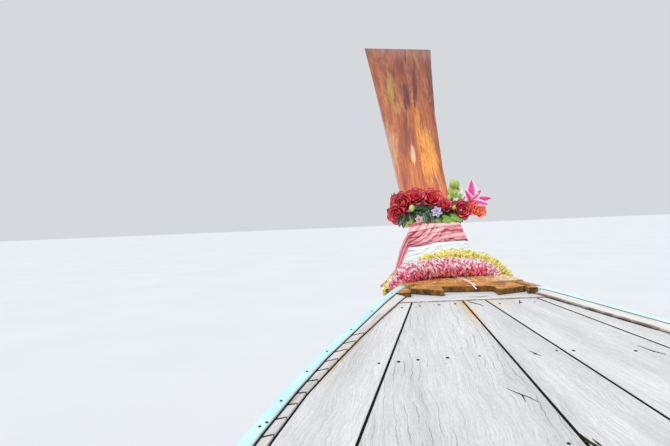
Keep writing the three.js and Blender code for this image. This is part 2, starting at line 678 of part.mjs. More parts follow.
// Cross beam, socket and the yoke that swivels in it
function addSwivel() {
  const { x, z } = PIVOT;
  const beamY = halfBreadth(x - BEAM_HALF) - CAP_WIDTH - 6;
  const beam = member(between(x - BEAM_HALF, x + BEAM_HALF), (at) => [
    -beamY,
    beamY,
    deckLine(at) - CAP_DROP - SEAM,
    BEAM_TOP,
  ]);
  place("engine_beam", beam, agedWood);

  const { plateHalf, plateThick, radius, boreRadius, boreFoot } = SOCKET;
  const plateTop = BEAM_TOP + plateThick;
  const plate = box(x - plateHalf, x + plateHalf, -plateHalf, plateHalf, BEAM_TOP + SEAM, plateTop);
  const tube = rod([x, 0, BEAM_TOP + plateThick / 2], [x, 0, SOCKET_TOP], radius);
  const bore = rod([x, 0, boreFoot], [x, 0, SOCKET_TOP + 25], boreRadius);
  place("swivel_socket", plate.add(tube).subtract(bore), steel);

  const { long, half, thick, armThick, armHalf } = YOKE;
  const base = box(x - long, x + long, -half, half, SOCKET_TOP + 0.4, SOCKET_TOP + thick);
  const arms = SIDES.map(([, side]) => {
    const [y0, y1] = side > 0 ? [half - armThick, half] : [-half, armThick - half];
    const upright = box(x - armHalf, x + armHalf, y0, y1, YOKE.armFoot, z);
    return upright.add(rod([x, y0, z], [x, y1, z], armHalf));
  });
  const pin = rod([x, 0, YOKE.pinFoot], [x, 0, SOCKET_TOP + 5], YOKE.pinRadius);
  const eyes = rod([x, -half - 50, z], [x, half + 50, z], YOKE.eyeRadius);
  place("swivel_yoke", joined([base, pin, ...arms]).subtract(eyes), steel);
}

// Everything that tilts on the yoke. Local axes: x forward along the crankshaft, origin on the trunnions.
function addEngineUnit() {
  const unit = new THREE.Group();
  unit.position.set(PIVOT.x, 0, PIVOT.z);
  unit.rotation.y = TAIL_ANGLE;
  boat.add(unit);

  const { aft, fore, half, railHalf, railDeep, barLong, plateLong, plateHalf, trunnion } = CRADLE;
  const rails = SIDES.map(([, side]) => {
    const y = side * CRADLE.railY;
    const bar = box(aft, fore, y - railHalf, y + railHalf, -railDeep, railDeep);
    const [inner, outer] = [side * trunnion.inner, side * trunnion.outer];
    return bar.add(rod([0, inner, 0], [0, outer, 0], trunnion.radius));
  });
  const shaftHole = rod([aft - 40, 0, 0], [aft + 60, 0, 0], CRADLE.plateBore);
  const plate = box(aft, aft + plateLong, -half, half, -plateHalf, plateHalf).subtract(shaftHole);
  const bar = box(fore - barLong, fore, -half, half, -railDeep, railDeep);
  place("engine_cradle", joined([...rails, plate, bar]), steel, unit);

  const boxes = CRANKCASE_BOXES.map((sides) => box(...sides));
  const rounds = CRANKCASE_ROUNDS.map((bar) => rod(...bar));
  place("engine_block", joined([...boxes, ...rounds]), castIron, unit);
  place("cylinder_head", box(...HEAD_BOX).add(box(...COVER_BOX)), castIron, unit);
  const pipe = bentBar(EXHAUST_PATH, EXHAUST_RADIUS);
  place("exhaust", box(...MANIFOLD_BOX).add(pipe), steel, unit);
  place("air_cleaner", box(...INTAKE_BOX).add(rod(...AIR_CLEANER)), steel, unit);
  const handle = bentBar(TILLER_PATH, TILLER_RADIUS, 10);
  place("tiller", rod(...TILLER_COLLAR).add(handle), steel, unit);

  const tube = rod([TAIL.fore, 0, 0], [TAIL.aft, 0, 0], TAIL_RADIUS);
  const bore = rod([TAIL.aft + TAIL.boreDeep, 0, 0], [TAIL.aft - 5, 0, 0], TAIL.boreRadius);
  place("tail_tube", tube.subtract(bore), steel, unit);
  const finLoop = (y) => SKEG_OUTLINE.map(([x, z]) => [TAIL.aft + x, y, z]);
  const fin = loft([finLoop(-SKEG_THICK / 2), finLoop(SKEG_THICK / 2)], notchedCap(0, 2));
  place("tail_skeg", fin, steel, unit);

  const { hubFore, hubAft, hubRadius, hubTip, bladeX, stubFore, stubRadius } = PROPELLER;
  const hub = rod([TAIL.aft + hubFore, 0, 0], [TAIL.aft + hubAft, 0, 0], hubRadius, 16, hubTip);
  const stub = rod([TAIL.aft + stubFore, 0, 0], [TAIL.aft + hubFore - 10, 0, 0], stubRadius);
  const blades = Array.from({ length: PROPELLER.blades }, (_, i) =>
    blade((i * Math.PI * 2) / PROPELLER.blades, TAIL.aft + bladeX),
  );
  place("propeller", joined([hub, stub, ...blades]), brass, unit);
}

// One propeller blade, turned about the shaft at x
function blade(turn, x) {
  const spin = new THREE.Matrix4().makeRotationX(turn);
  return loft(
    BLADE_SECTIONS.map(([radius, chord, thick, pitch]) => {
      const set = THREE.MathUtils.degToRad(pitch);
      return [[chord, 0], [0, thick], [-chord, 0], [0, -thick]].map(([along, across]) => {
        const px = along * Math.sin(set) + across * Math.cos(set);
        const py = along * Math.cos(set) - across * Math.sin(set);
        const point = new THREE.Vector3(px, py, radius).applyMatrix4(spin);
        return [point.x + x, point.y, point.z];
      });
    }),
  );
}

// Cloth wound round the foot of the post, between two places along its axis
function wrap(thickness, low, high) {
  const band = new THREE.BoxGeometry(600, 600, high - low).translate(0, 0, (low + high) / 2);
  const lean = new THREE.Matrix4().makeRotationY(THREE.MathUtils.degToRad(SASH_LEAN));
  const cutter = solidOf(band.applyMatrix4(lean).translate(SASH_FOOT.x, 0, SASH_FOOT.z));
  return prowTimber(thickness, 1).intersect(cutter).subtract(prowTimber(GROW, 1));
}

// Thick garland laid across the prow block, cut away where it lies on the timbers
function garland(points, radius) {
  let solid = bentBar(points, radius, 16).subtract(prowTimber(GROW));
  for (const [, side] of SIDES) solid = solid.subtract(gunwale(side, GROW));
  return solid.decompose().sort((a, b) => b.volume() - a.volume())[0];
}

function addDressing() {
  place("sash_white", wrap(SASH_WHITE.thick, SASH_WHITE.low, SASH_WHITE.high), whiteCloth);
  const flap = loft(SASH_FLAP)
    .subtract(prowTimber(GROW, 1))
    .subtract(wrap(SASH_WHITE.thick + GROW, SASH_WHITE.low - GROW, SASH_WHITE.high + GROW));
  place("sash_pink", wrap(SASH_PINK.thick, SASH_PINK.low, SASH_PINK.high).add(flap), pinkCloth);
  place("garland_pink", garland(PINK_PATH, PINK_RADIUS), pinkGarland);
  place("garland_yellow", garland(YELLOW_PATH, YELLOW_RADIUS), yellowGarland);
  const { x, y, z, long, wide, deep } = WREATH;
  const ring = new THREE.CylinderGeometry(1, 1, deep, 20).rotateX(Math.PI / 2);
  ring.scale(long, wide, 1).translate(x, y, z);
  place("flower_wreath", solidOf(ring).subtract(prowTimber(GROW)), roses);
}

addHull();
addFraming();
addForedeck();
addBreastTimber();
addInside();
addCanopy();
addSwivel();
addEngineUnit();
addDressing();

export default boat;
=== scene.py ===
"""A wooden longtail boat afloat, dressed at the prow, seen from its own foredeck."""

import math
import random
from functools import partial

import bmesh
import bpy
import numpy as np
from mathutils import Matrix, Vector, noise
from mathutils.bvhtree import BVHTree


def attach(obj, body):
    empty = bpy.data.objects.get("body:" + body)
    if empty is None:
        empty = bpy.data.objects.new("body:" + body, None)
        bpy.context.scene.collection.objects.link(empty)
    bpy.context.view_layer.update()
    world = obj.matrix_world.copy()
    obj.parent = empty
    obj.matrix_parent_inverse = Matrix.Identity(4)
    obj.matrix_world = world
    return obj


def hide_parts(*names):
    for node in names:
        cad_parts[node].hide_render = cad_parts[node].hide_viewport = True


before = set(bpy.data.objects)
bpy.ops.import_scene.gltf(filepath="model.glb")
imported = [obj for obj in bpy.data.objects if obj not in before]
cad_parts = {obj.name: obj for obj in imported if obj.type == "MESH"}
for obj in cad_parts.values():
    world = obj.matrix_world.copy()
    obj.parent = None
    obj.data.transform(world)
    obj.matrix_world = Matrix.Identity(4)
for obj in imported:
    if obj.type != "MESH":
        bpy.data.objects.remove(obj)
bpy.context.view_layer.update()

# View: a wide lens held above the foredeck, a little to port of the middle, looking
# forward along the planks to the prow post.
EYE = Vector((1.8724, 0.4213, 1.2357))
SIGHT = Vector((0.99994, 0.00867, 0.00698))
CROWN = Vector((-0.00662, -0.04087, 0.99914))
SENSOR = 36.0
LENS = SENSOR * 474.0 / 670.0

bpy.ops.object.camera_add()
camera = bpy.context.object
aside = SIGHT.cross(CROWN).normalized()
turn = Matrix((aside, aside.cross(SIGHT), -SIGHT)).transposed()
camera.matrix_world = Matrix.Translation(EYE) @ turn.to_4x4()
camera.data.sensor_width = SENSOR
camera.data.lens = LENS
camera.data.clip_start = 0.02
camera.data.clip_end = 2000.0
bpy.context.scene.camera = camera
bpy.context.scene.view_settings.view_transform = "Standard"


# Stage: a plain pale floor at the waterline, open where the hull passes through it, under
# an even pale sky, with a high lamp astern to port and a broad weak one ahead.
FLOOR_REACH = 400.0
HULL_OPENING_INSET = 0.010
LEAST_HALF_BEAM = 0.05
OUTLINE_STEP = 0.12
SKY, SKY_STRENGTH = "#eef2f6", 0.78
# Lamps: where each stands, how broad it is in degrees and how strong
LAMPS = [((-4.0, 3.5, 8.0), 30.0, 1.35), ((6.0, -2.0, 6.0), 60.0, 0.35)]
SKIN = ["garboard", "bilge_strake", "sheer_strake"]


def linear(hexed):
    """A #rrggbb colour as linear red, green, blue and alpha."""
    parts = [int(hexed[i : i + 2], 16) / 255 for i in (1, 3, 5)]
    return [c / 12.92 if c <= 0.04045 else ((c + 0.055) / 1.055) ** 2.4 for c in parts] + [1.0]


def add_node(tree, kind, links=(), out=0, stops=(), **settings):
    """Adds a node. links feeds its inputs in their order, or by name, from sockets or with values.

    A setting with a capital feeds the input of that name; any other is the node's own.
    """
    node = tree.nodes.new("ShaderNode" + kind)
    if not isinstance(links, dict):
        links = dict(enumerate(links if isinstance(links, tuple) else (links,)))
    for name, value in settings.items():
        if name[0].isupper():
            links[name] = value
        else:
            setattr(node, name, value)
    for name, value in links.items():
        if isinstance(value, bpy.types.NodeSocket):
            tree.links.new(value, node.inputs[name])
        else:
            node.inputs[name].default_value = linear(value) if isinstance(value, str) else value
    for i, (place, value) in enumerate(stops):
        band = node.color_ramp.elements
        stop = band[i] if i < 2 else band.new(place)
        stop.position = place
        stop.color = linear(value) if isinstance(value, str) else (value, value, value, 1.0)
    return node.outputs[out] if node.outputs else node


def material_of(name, surface, **options):
    """A material whose shader surface() wires up from the piece's own coordinates."""
    made = bpy.data.materials.new(name)
    made.use_nodes = True
    made.node_tree.nodes.clear()
    wire = partial(add_node, made.node_tree)
    place = wire("TexCoord", out="Object")
    wire("OutputMaterial", {"Surface": surface(wire, place, **options)})
    return made


def matt_floor(wire, place):
    """Matt paint: an even pale grey with a faint cloud in it, on which shadows read."""
    grain = wire("TexNoise", place, Scale=0.6, Detail=3.0)
    tone = wire("ValToRGB", grain, stops=[(0.3, "#dfe1e3"), (0.7, "#e4e6e8")])
    return wire("BsdfPrincipled", {"Base Color": tone, "Roughness": 0.85})


def waterline():
    """The hull's outline at the floor, on the port side, from the stern forward."""
    widest = {}
    for row in SKIN:
        skin = bmesh.new()
        skin.from_mesh(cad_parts[row + "_port"].data)
        cut = bmesh.ops.bisect_plane(
            skin, geom=skin.verts[:] + skin.edges[:] + skin.faces[:], plane_co=(0, 0, 0), plane_no=(0, 0, 1)
        )
        for part in cut["geom_cut"]:
            if isinstance(part, bmesh.types.BMVert):
                key = round(part.co.x, 2)
                widest[key] = max(widest.get(key, 0.0), part.co.y)
        skin.free()
    kept = []
    for x in sorted(widest):
        if widest[x] > LEAST_HALF_BEAM and (not kept or x - kept[-1][0] > OUTLINE_STEP):
            kept.append((x, widest[x]))
    return kept


def piece_of(shell, name):
    """Makes a shape held in memory a piece of the scene."""
    mesh = bpy.data.meshes.new(name)
    shell.to_mesh(mesh)
    shell.free()
    piece = bpy.data.objects.new(name, mesh)
    bpy.context.collection.objects.link(piece)
    return piece


half = [(x, y - HULL_OPENING_INSET) for x, y in waterline()]
ring = half + [(x, -y) for x, y in reversed(half)]
square = [(a * FLOOR_REACH, b * FLOOR_REACH) for a, b in ((-1, 1), (1, 1), (1, -1), (-1, -1))]
water = bmesh.new()
rims = []
for loop in (square, ring):
    points = [water.verts.new((x, y, 0.0)) for x, y in loop]
    rims += [water.edges.new((points[i], points[i - 1])) for i in range(len(points))]
bmesh.ops.triangle_fill(water, use_beauty=True, edges=rims)
bmesh.ops.recalc_face_normals(water, faces=water.faces)
for face in water.faces:
    if face.normal.z < 0:
        face.normal_flip()
floor = piece_of(water, "floor")
floor.data.materials.append(material_of("matt_studio_floor", matt_floor))

world = bpy.data.worlds.new("even_sky")
bpy.context.scene.world = world
world.use_nodes = True
world.node_tree.nodes["Background"].inputs["Color"].default_value = linear(SKY)
world.node_tree.nodes["Background"].inputs["Strength"].default_value = SKY_STRENGTH
for source, spread, power in LAMPS:
    bpy.ops.object.light_add(type="SUN")
    lamp = bpy.context.object
    lamp.data.angle = math.radians(spread)
    lamp.data.energy = power
    lamp.rotation_euler = (-Vector(source)).to_track_quat("-Z", "Y").to_euler()


# Hull: ironwood and teak planks, steamed to the frames and oiled dark, so the grain runs
# along the hull and the oil leaves a low, uneven shine.
def timber(wire, place, pale, deep, heading=0.0, lean=0.0, seed=0.0, rough=0.6, coat=0.0, worn=None):
    """Sawn wood: streaked along its grain, split in thin dark lines, and rubbed pale in patches.

    The grain runs along +X turned by heading and lean, in degrees.
    """
    turned = wire("Mapping", place, Rotation=(0.0, math.radians(lean), math.radians(-heading)))
    shifted = wire("Mapping", turned, Location=(seed, seed * 0.37, seed * 0.71))
    sway = wire("TexNoise", shifted, Scale=2.2, Detail=2.0, out="Color")
    bent = wire("VectorMath", (sway, (0.0, 0.05, 0.05)), operation="MULTIPLY")
    course = wire("VectorMath", (shifted, bent), operation="ADD")
    broad_place = wire("Mapping", course, Scale=(1.0, 26.0, 26.0))
    broad = wire("TexNoise", broad_place, Scale=1.0, Detail=5.0, Roughness=0.6)
    fine_place = wire("Mapping", course, Scale=(7.0, 260.0, 260.0))
    fine = wire("TexNoise", fine_place, Scale=1.0, Detail=3.0, Roughness=0.7)
    both = wire("Math", (broad, fine), operation="ADD")
    grain = wire("Math", (both, 0.5), operation="MULTIPLY")
    colour = wire("ValToRGB", grain, stops=[(0.36, deep), (0.62, pale)])
    split_place = wire("Mapping", course, Scale=(2.6, 60.0, 60.0))
    split = wire("TexNoise", split_place, Scale=1.0, Detail=2.0)
    off = wire("Math", (split, 0.5), operation="SUBTRACT")
    line = wire("Math", off, operation="ABSOLUTE")
    crack = wire("ValToRGB", line, stops=[(0.0, 0.5), (0.02, 0.0)])
    dark = wire("MixRGB", (crack, colour, "#1d130d"))
    if worn:
        patch = wire("TexNoise", shifted, Scale=1.7, Detail=6.0, Roughness=0.7)
        scuffed = wire("ValToRGB", patch, stops=[(0.52, 0.0), (0.7, 0.75)])
        dark = wire("MixRGB", (scuffed, dark, worn))
    height = wire("Math", (grain, crack), operation="SUBTRACT")
    bump = wire("Bump", Height=height, Strength=0.35, Distance=0.002)
    sheen = wire("MapRange", (grain, 0.0, 1.0, rough + 0.12, rough - 0.08))
    return wire(
        "BsdfPrincipled",
        {"Base Color": dark, "Roughness": sheen, "Normal": bump, "Coat Weight": coat, "Coat Roughness": 0.12},
    )


def finish_nodes(material, *names):
    """Gives carried-over solids their finish."""
    for name in names:
        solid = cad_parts[name]
        solid.data.materials.clear()
        solid.data.materials.append(material)


oiled = material_of("oiled_ironwood", timber, pale="#7d4a2c", deep="#3f2114", rough=0.5, worn="#8f6a4c")
for side in ("port", "starboard"):
    finish_nodes(oiled, *[f"{row}_{side}" for row in SKIN])
finish_nodes(oiled, "keel", "stem", "transom")


# Gunwales: a sawn strip nailed along the top of the planking and brushed with pale aqua
# paint, which the sun has chalked and boots have rubbed thin along the inner edge.
NAIL_PITCH = 0.130
NAILS_FROM, NAILS_TO = -4.45, 2.6
NAIL_RADIUS, NAIL_DEPTH = 0.0026, 0.0016
NAIL_PROUD = 0.0002
EASED_ANGLE = math.radians(28)
PAINT_END = 3.475
BOW_NAILS = [
    (2.667, 0.568), (2.679, 0.558), (2.752, 0.542), (2.876, 0.502), (2.981, 0.462), (3.124, 0.401),
    (3.277, 0.335), (3.460, 0.254),
]


def select_only(piece):
    bpy.ops.object.select_all(action="DESELECT")
    piece.select_set(True)
    bpy.context.view_layer.objects.active = piece


def add_modifier(piece, kind, **settings):
    """Adds a modifier and applies it at once."""
    select_only(piece)
    modifier = piece.modifiers.new(kind.lower(), kind)
    for name, value in settings.items():
        setattr(modifier, name, value)
    bpy.ops.object.modifier_apply(modifier=modifier.name)


def settle(piece, name, material, body="hull", smooth=40.0, stands_for=None):
    """Names a piece, puts its place into its mesh, gives it its finish and body, and hides the solid it
    stands for.
    """
    select_only(piece)
    bpy.ops.object.transform_apply(location=True, rotation=True, scale=True)
    piece.name = piece.data.name = name
    piece.data.materials.clear()
    piece.data.materials.append(material)
    bpy.ops.object.shade_smooth_by_angle(angle=math.radians(smooth))
    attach(piece, body)
    if stands_for:
        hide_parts(stands_for)
    return piece


def merged_copy(node, slices=()):
    """A solid's mesh as clean faces, cut across at some x, ready to be shaped further."""
    copied = bpy.data.objects.new(node + "_shape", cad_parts[node].data.copy())
    bpy.context.collection.objects.link(copied)
    shell = bmesh.new()
    shell.from_mesh(copied.data)
    bmesh.ops.remove_doubles(shell, verts=shell.verts, dist=2e-5)
    bmesh.ops.dissolve_limit(shell, angle_limit=math.radians(0.6), verts=shell.verts, edges=shell.edges)
    for x in slices:
        every = [*shell.verts, *shell.edges, *shell.faces]
        bmesh.ops.bisect_plane(shell, geom=every, dist=1e-6, plane_co=(x, 0, 0), plane_no=(1, 0, 0))
    shell.to_mesh(copied.data)
    shell.free()
    return copied


def eased(node, name, width, material, body="hull", segments=2, smooth=40.0, slices=()):
    """A solid with its sharp edges eased, standing for the plain one."""
    piece = merged_copy(node, slices)
    add_modifier(
        piece, "BEVEL", width=width, segments=segments, limit_method="ANGLE", angle_limit=EASED_ANGLE
    )
    return settle(piece, name, material, body, smooth, node)


def copies(model, places, shades=None):
    """Copies of a modelled shape at each matrix, joined in one mesh; the model itself goes."""
    source = model.data
    count = len(source.vertices)
    base = np.empty(count * 3)
    source.vertices.foreach_get("co", base)
    base = np.c_[base.reshape(-1, 3), np.ones(count)]
    points = np.concatenate([(base @ np.array(m).T)[:, :3] for m in places])
    faces = [tuple(p.vertices) for p in source.polygons]
    every = [tuple(v + i * count for v in face) for i in range(len(places)) for face in faces]
    mesh = bpy.data.meshes.new(model.name)
    mesh.from_pydata(points.tolist(), [], every)
    repeated = bpy.data.objects.new(model.name, mesh)
    bpy.context.collection.objects.link(repeated)
    for kept in ("reach", "rim"):
        if kept in source.attributes:
            values = np.empty(count, np.float32)
            source.attributes[kept].data.foreach_get("value", values)
            note(repeated, kept, np.tile(values, len(places)))
    if shades is not None:
        note(repeated, "shade", np.repeat(shades, count))
    bpy.data.objects.remove(model)
    return repeated


def note(piece, name, values):
    """Gives each point of a piece a number that its material reads, or all of them the same one."""
    every = np.full(len(piece.data.vertices), values, np.float32)
    piece.data.attributes.new(name, "FLOAT", "POINT").data.foreach_set("value", every)


def aqua_paint(wire, place):
    """Gloss paint gone chalky: pale blue-green, brushed lengthwise and chipped to grey wood.

    Starboard is drawn paler, and its paint stops short of the strip's fore end.
    """
    cloud = wire("TexNoise", place, Scale=5.0, Detail=5.0)
    tone = wire("ValToRGB", cloud, stops=[(0.3, "#b9e7ea"), (0.65, "#d3f7f8")])
    brushed = wire("Mapping", place, Scale=(4.0, 220.0, 220.0))
    strokes = wire("TexNoise", brushed, Scale=1.0, Detail=2.0)
    long_place = wire("Mapping", place, Scale=(1.0, 3.0, 3.0))
    chips = wire("TexNoise", long_place, Scale=34.0, Detail=6.0, Roughness=0.7)
    bare = wire("ValToRGB", chips, stops=[(0.66, 0.0), (0.69, 0.85)])
    colour = wire("MixRGB", (bare, tone, "#9c9083"))
    forward = wire("SeparateXYZ", place, out="X")
    sideways = wire("SeparateXYZ", place, out="Y")
    starboard = wire("Math", (sideways, 0.0), operation="LESS_THAN")
    # The starboard strip is drawn paler.
    chalky = wire("Math", (starboard, 0.4), operation="MULTIPLY")
    colour = wire("MixRGB", (chalky, colour, "#f4ffff"))
    head = wire("MapRange", (forward, PAINT_END, PAINT_END + 0.012))
    unpainted = wire("Math", (starboard, head), operation="MULTIPLY")
    colour = wire("MixRGB", (unpainted, colour, "#b87a41"))
    height = wire("Math", (strokes, bare), operation="SUBTRACT")
    bump = wire("Bump", Height=height, Strength=0.25, Distance=0.001)
    return wire("BsdfPrincipled", {"Base Color": colour, "Roughness": 0.42, "Normal": bump})


def rusted_nail(wire, place):
    """Mild steel rusted dark brown, with hardly any shine left."""
    spots = wire("TexNoise", place, Scale=300.0, Detail=3.0)
    colour = wire("ValToRGB", spots, stops=[(0.35, "#1d1715"), (0.7, "#4a3a33")])
    return wire("BsdfPrincipled", {"Base Color": colour, "Roughness": 0.8, "Metallic": 0.4})


def nail_head(radius, depth):
    """A flat nail head, driven in until its middle is dished."""
    bpy.ops.mesh.primitive_cylinder_add(vertices=10, radius=radius, depth=depth)
    head = bpy.context.object
    bpy.ops.object.mode_set(mode="EDIT")
    bpy.ops.mesh.select_all(action="DESELECT")
    shape = bmesh.from_edit_mesh(head.data)
    for face in shape.faces:
        face.select = face.normal.z > 0.9
    bmesh.update_edit_mesh(head.data)
    bpy.ops.mesh.inset(thickness=radius * 0.3)
    bpy.ops.transform.translate(value=(0, 0, -depth * 0.3))
    bpy.ops.object.mode_set(mode="OBJECT")
    return head


def top_line(node, x, share):
    """Height and side of a long solid's top at x, share of the way from its inboard edge."""
    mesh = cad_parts[node].data
    points = np.array([v.co for v in mesh.vertices])
    rows = np.unique(np.round(points[:, 0], 3))
    after = min(max(np.searchsorted(rows, x), 1), len(rows) - 1)
    found = []
    for row in rows[after - 1 : after + 1]:
        ring = points[np.abs(points[:, 0] - row) < 0.002]
        ring = ring[ring[:, 2] > ring[:, 2].max() - 0.012]
        inner, outer = sorted((ring[:, 1].min(), ring[:, 1].max()), key=abs)
        found.append((inner + (outer - inner) * share, ring[:, 2].max()))
    t = (x - rows[after - 1]) / (rows[after] - rows[after - 1])
    return [a + (b - a) * t for a, b in zip(*found)]


nail_iron = material_of("rusted_nail_iron", rusted_nail)
chalked_aqua = material_of("chalked_aqua_paint", aqua_paint)
nails = random.Random(11)
for side in ("port", "starboard"):
    node = "gunwale_" + side
    eased(node, "painted_" + node, 0.004, chalked_aqua, segments=3)
    spots = []
    x = NAILS_FROM
    while x < NAILS_TO:
        y, z = top_line(node, x, 0.5 + nails.uniform(-0.2, 0.2))
        spots.append(Matrix.Translation((x, y, z + NAIL_PROUD)))
        x += NAIL_PITCH * nails.uniform(0.7, 1.3)
    if side == "port":
        spots += [Matrix.Translation((x, y, top_line(node, x, 0.5)[1] + NAIL_PROUD)) for x, y in BOW_NAILS]
    settle(copies(nail_head(NAIL_RADIUS, NAIL_DEPTH), spots), f"gunwale_nails_{side}", nail_iron)


# Prow post: one hardwood timber, adzed to a flare and varnished. Heartwood streaks of dark
# purple, orange and yellow run up its after face, with a drying crack at the top.
POST_LEAN = 40.0
# Streaks: side and height of the upper and the lower end, half width, colour, weight
STREAKS = [
    ((-0.055, 2.120), (-0.030, 1.500), 0.026, "#f0933a", 0.75),
    ((-0.070, 1.800), (-0.062, 1.430), 0.048, "#f7a548", 0.85),
    ((-0.190, 2.380), (-0.138, 1.780), 0.026, "#6d3f36", 0.75),
    ((-0.012, 2.130), (0.004, 1.840), 0.020, "#6b2f3c", 0.95),
    ((-0.088, 2.250), (-0.040, 1.860), 0.017, "#692f3c", 0.95),
    ((0.012, 1.880), (0.046, 1.590), 0.022, "#8f4a42", 0.75),
    ((0.076, 2.150), (0.086, 1.940), 0.030, "#c9a24e", 0.80),
    ((0.082, 2.300), (0.086, 2.130), 0.008, "#c79a4d", 0.60),
    ((0.050, 1.960), (0.065, 1.850), 0.030, "#d9a25e", 0.55),
    ((0.015, 1.670), (0.016, 1.520), 0.012, "#efd0a0", 0.80),
    ((0.122, 1.840), (0.118, 1.440), 0.030, "#dba884", 0.60),
    ((0.072, 1.520), (0.069, 1.420), 0.007, "#9d5a55", 0.60),
    ((-0.055, 1.490), (-0.088, 1.370), 0.006, "#a4605a", 0.60),
    ((0.012, 2.350), (0.026, 2.160), 0.014, "#93402f", 0.60),
    ((-0.100, 2.330), (-0.120, 2.120), 0.010, "#d58a3e", 0.65),
    ((-0.050, 2.380), (-0.034, 2.220), 0.0045, "#15110f", 1.00),
]


def varnished_heartwood(wire, place):
    """Red hardwood under thin varnish: streaked along the post, pored, with a low broken shine."""
    leant = wire("Mapping", place, Rotation=(0.0, math.radians(-POST_LEAN), 0.0))
    sway = wire("TexNoise", leant, Scale=3.0, Detail=3.0, out="Color")
    drift = wire("VectorMath", (sway, (0.03, 0.05, 0.0)), operation="MULTIPLY")
    course = wire("VectorMath", (leant, drift), operation="ADD")
    broad_place = wire("Mapping", course, Scale=(30.0, 30.0, 1.6))
    broad = wire("TexNoise", broad_place, Scale=1.0, Detail=6.0, Roughness=0.62)
    fine_place = wire("Mapping", course, Scale=(320.0, 320.0, 12.0))
    fine = wire("TexNoise", fine_place, Scale=1.0, Detail=3.0, Roughness=0.7)
    colour = wire("ValToRGB", broad, stops=[(0.30, "#8d432a"), (0.72, "#dc8b52"), (0.5, "#b8643d")])
    sideways = wire("SeparateXYZ", place, out="Y")
    height = wire("SeparateXYZ", place, out="Z")
    ragged_place = wire("Mapping", course, Scale=(75.0, 75.0, 5.0))
    ragged = wire("TexNoise", ragged_place, Scale=1.0, Detail=5.0, Roughness=0.7)
    uneven = wire("MapRange", (ragged, 0.3, 0.7, -0.6, 0.6))
    for (y_high, z_high), (y_low, z_low), wide, tint, weight in STREAKS:
        slope = (y_high - y_low) / (z_high - z_low)
        along = wire("MapRange", (height, z_low, z_high, -1.0, 1.0), clamp=False)
        middle = wire("Math", (height, slope, y_low - slope * z_low), operation="MULTIPLY_ADD")
        off = wire("Math", (sideways, middle), operation="SUBTRACT")
        across = wire("Math", (off, wide), operation="DIVIDE")
        spot = wire("CombineXYZ", X=across, Y=along)
        reach = wire("VectorMath", spot, out="Value", operation="LENGTH")
        ragged_reach = wire("Math", (reach, uneven), operation="ADD")
        mask = wire("ValToRGB", ragged_reach, stops=[(0.60, weight), (1.0, 0.0)])
        colour = wire("MixRGB", (mask, colour, tint))
    # Painted light: the colour is made brighter low on the post, most between 1.36 and 1.64 m, and darker
    # towards the top.
    painted_dimming = wire("MapRange", (height, 1.35, 2.35, 1.22, 0.74))
    painted_glow = wire("MapRange", (height, 1.36, 1.64, 1.26, 1.0))
    painted_post_light = wire("Math", (painted_dimming, painted_glow), operation="MULTIPLY")
    colour = wire("VectorMath", colour, Scale=painted_post_light, operation="SCALE")
    low = wire("MapRange", (height, 1.06, 1.12, 1.0, 0.0))
    sunned = wire("ValToRGB", ragged, stops=[(0.38, "#c4853c"), (0.60, "#ebc88c")])
    colour = wire("MixRGB", (low, colour, sunned))
    vein_place = wire("Mapping", course, Scale=(120.0, 120.0, 5.0))
    vein = wire("TexNoise", vein_place, Scale=1.0, Detail=4.0, Roughness=0.7)
    veined = wire("MapRange", (vein, 0.35, 0.65, 0.76, 1.24))
    colour = wire("VectorMath", colour, Scale=veined, operation="SCALE")
    pores = wire("ValToRGB", fine, stops=[(0.36, 0.66), (0.52, 1.0)])
    colour = wire("MixRGB", (0.8, colour, pores), blend_type="MULTIPLY")
    bump = wire("Bump", Height=fine, Strength=0.12, Distance=0.001)
    gloss = wire("MapRange", (broad, 0.0, 1.0, 0.42, 0.28))
    return wire(
        "BsdfPrincipled",
        {
            "Base Color": colour, "Roughness": gloss, "Normal": bump,
            "Coat Weight": 0.35, "Coat Roughness": 0.2,
        },
    )


varnished = material_of("varnished_heartwood", varnished_heartwood)
eased("prow_post", "carved_prow_post", 0.005, varnished, segments=3)


# Foredeck: five broad planks of unpainted hardwood, bleached silver-white by sun and salt,
# wavy drying cracks along the grain, their seams payed with black pitch.
DECK_FRONT = (3.400, 0.980)
DECK_ANGLE = math.radians(7.0)
DECK_SLOPE = math.tan(DECK_ANGLE)
SEAM_WIDTH, SEAM_DEPTH = 0.0046, 0.012
DECK_NAIL_RADIUS = 0.0038
SPLIT_DEPTH = 0.0004
SEAMS = [
    [(1.300, 0.648), (2.300, 0.498), (2.630, 0.408), (3.400, 0.198)],
    [(1.300, 0.080), (2.630, 0.051), (3.400, 0.035)],
    [(1.300, -0.250), (2.630, -0.122), (3.400, -0.038)],
    [(1.300, -0.600), (2.965, -0.323), (3.400, -0.203)],
]
PORT_EDGE = [
    (1.300, 0.800), (2.200, 0.656), (2.640, 0.547), (2.800, 0.499), (2.900, 0.460), (3.000, 0.420),
    (3.100, 0.378), (3.200, 0.333), (3.300, 0.287), (3.400, 0.239), (3.455, 0.212), (3.600, 0.140),
]
STARBOARD_EDGE = [
    (1.300, -0.790), (2.200, -0.642), (2.640, -0.533), (2.800, -0.484), (2.900, -0.447), (3.000, -0.407),
    (3.100, -0.364), (3.200, -0.321), (3.300, -0.279), (3.400, -0.237), (3.455, -0.210), (3.600, -0.140),
]
PLANK_HEADINGS = [-14.0, -5.5, 4.0, 11.0, 17.0]
PLANK_CRACKS = [0.22, 0.85, 0.18, 0.16, 0.16]
DECK_NAILS = [
    (3.350, 0.237), (3.361, 0.179), (3.365, 0.118), (3.369, 0.067), (3.353, -0.068), (3.357, -0.136),
    (3.357, -0.178), (2.941, 0.345), (2.945, 0.300), (2.952, 0.255), (2.957, 0.187), (2.960, 0.113),
    (2.961, -0.014), (2.974, -0.069), (2.970, -0.106), (2.955, -0.239), (2.949, -0.275), (2.946, -0.325),
    (2.614, 0.079), (2.617, 0.050), (2.612, -0.150),
]
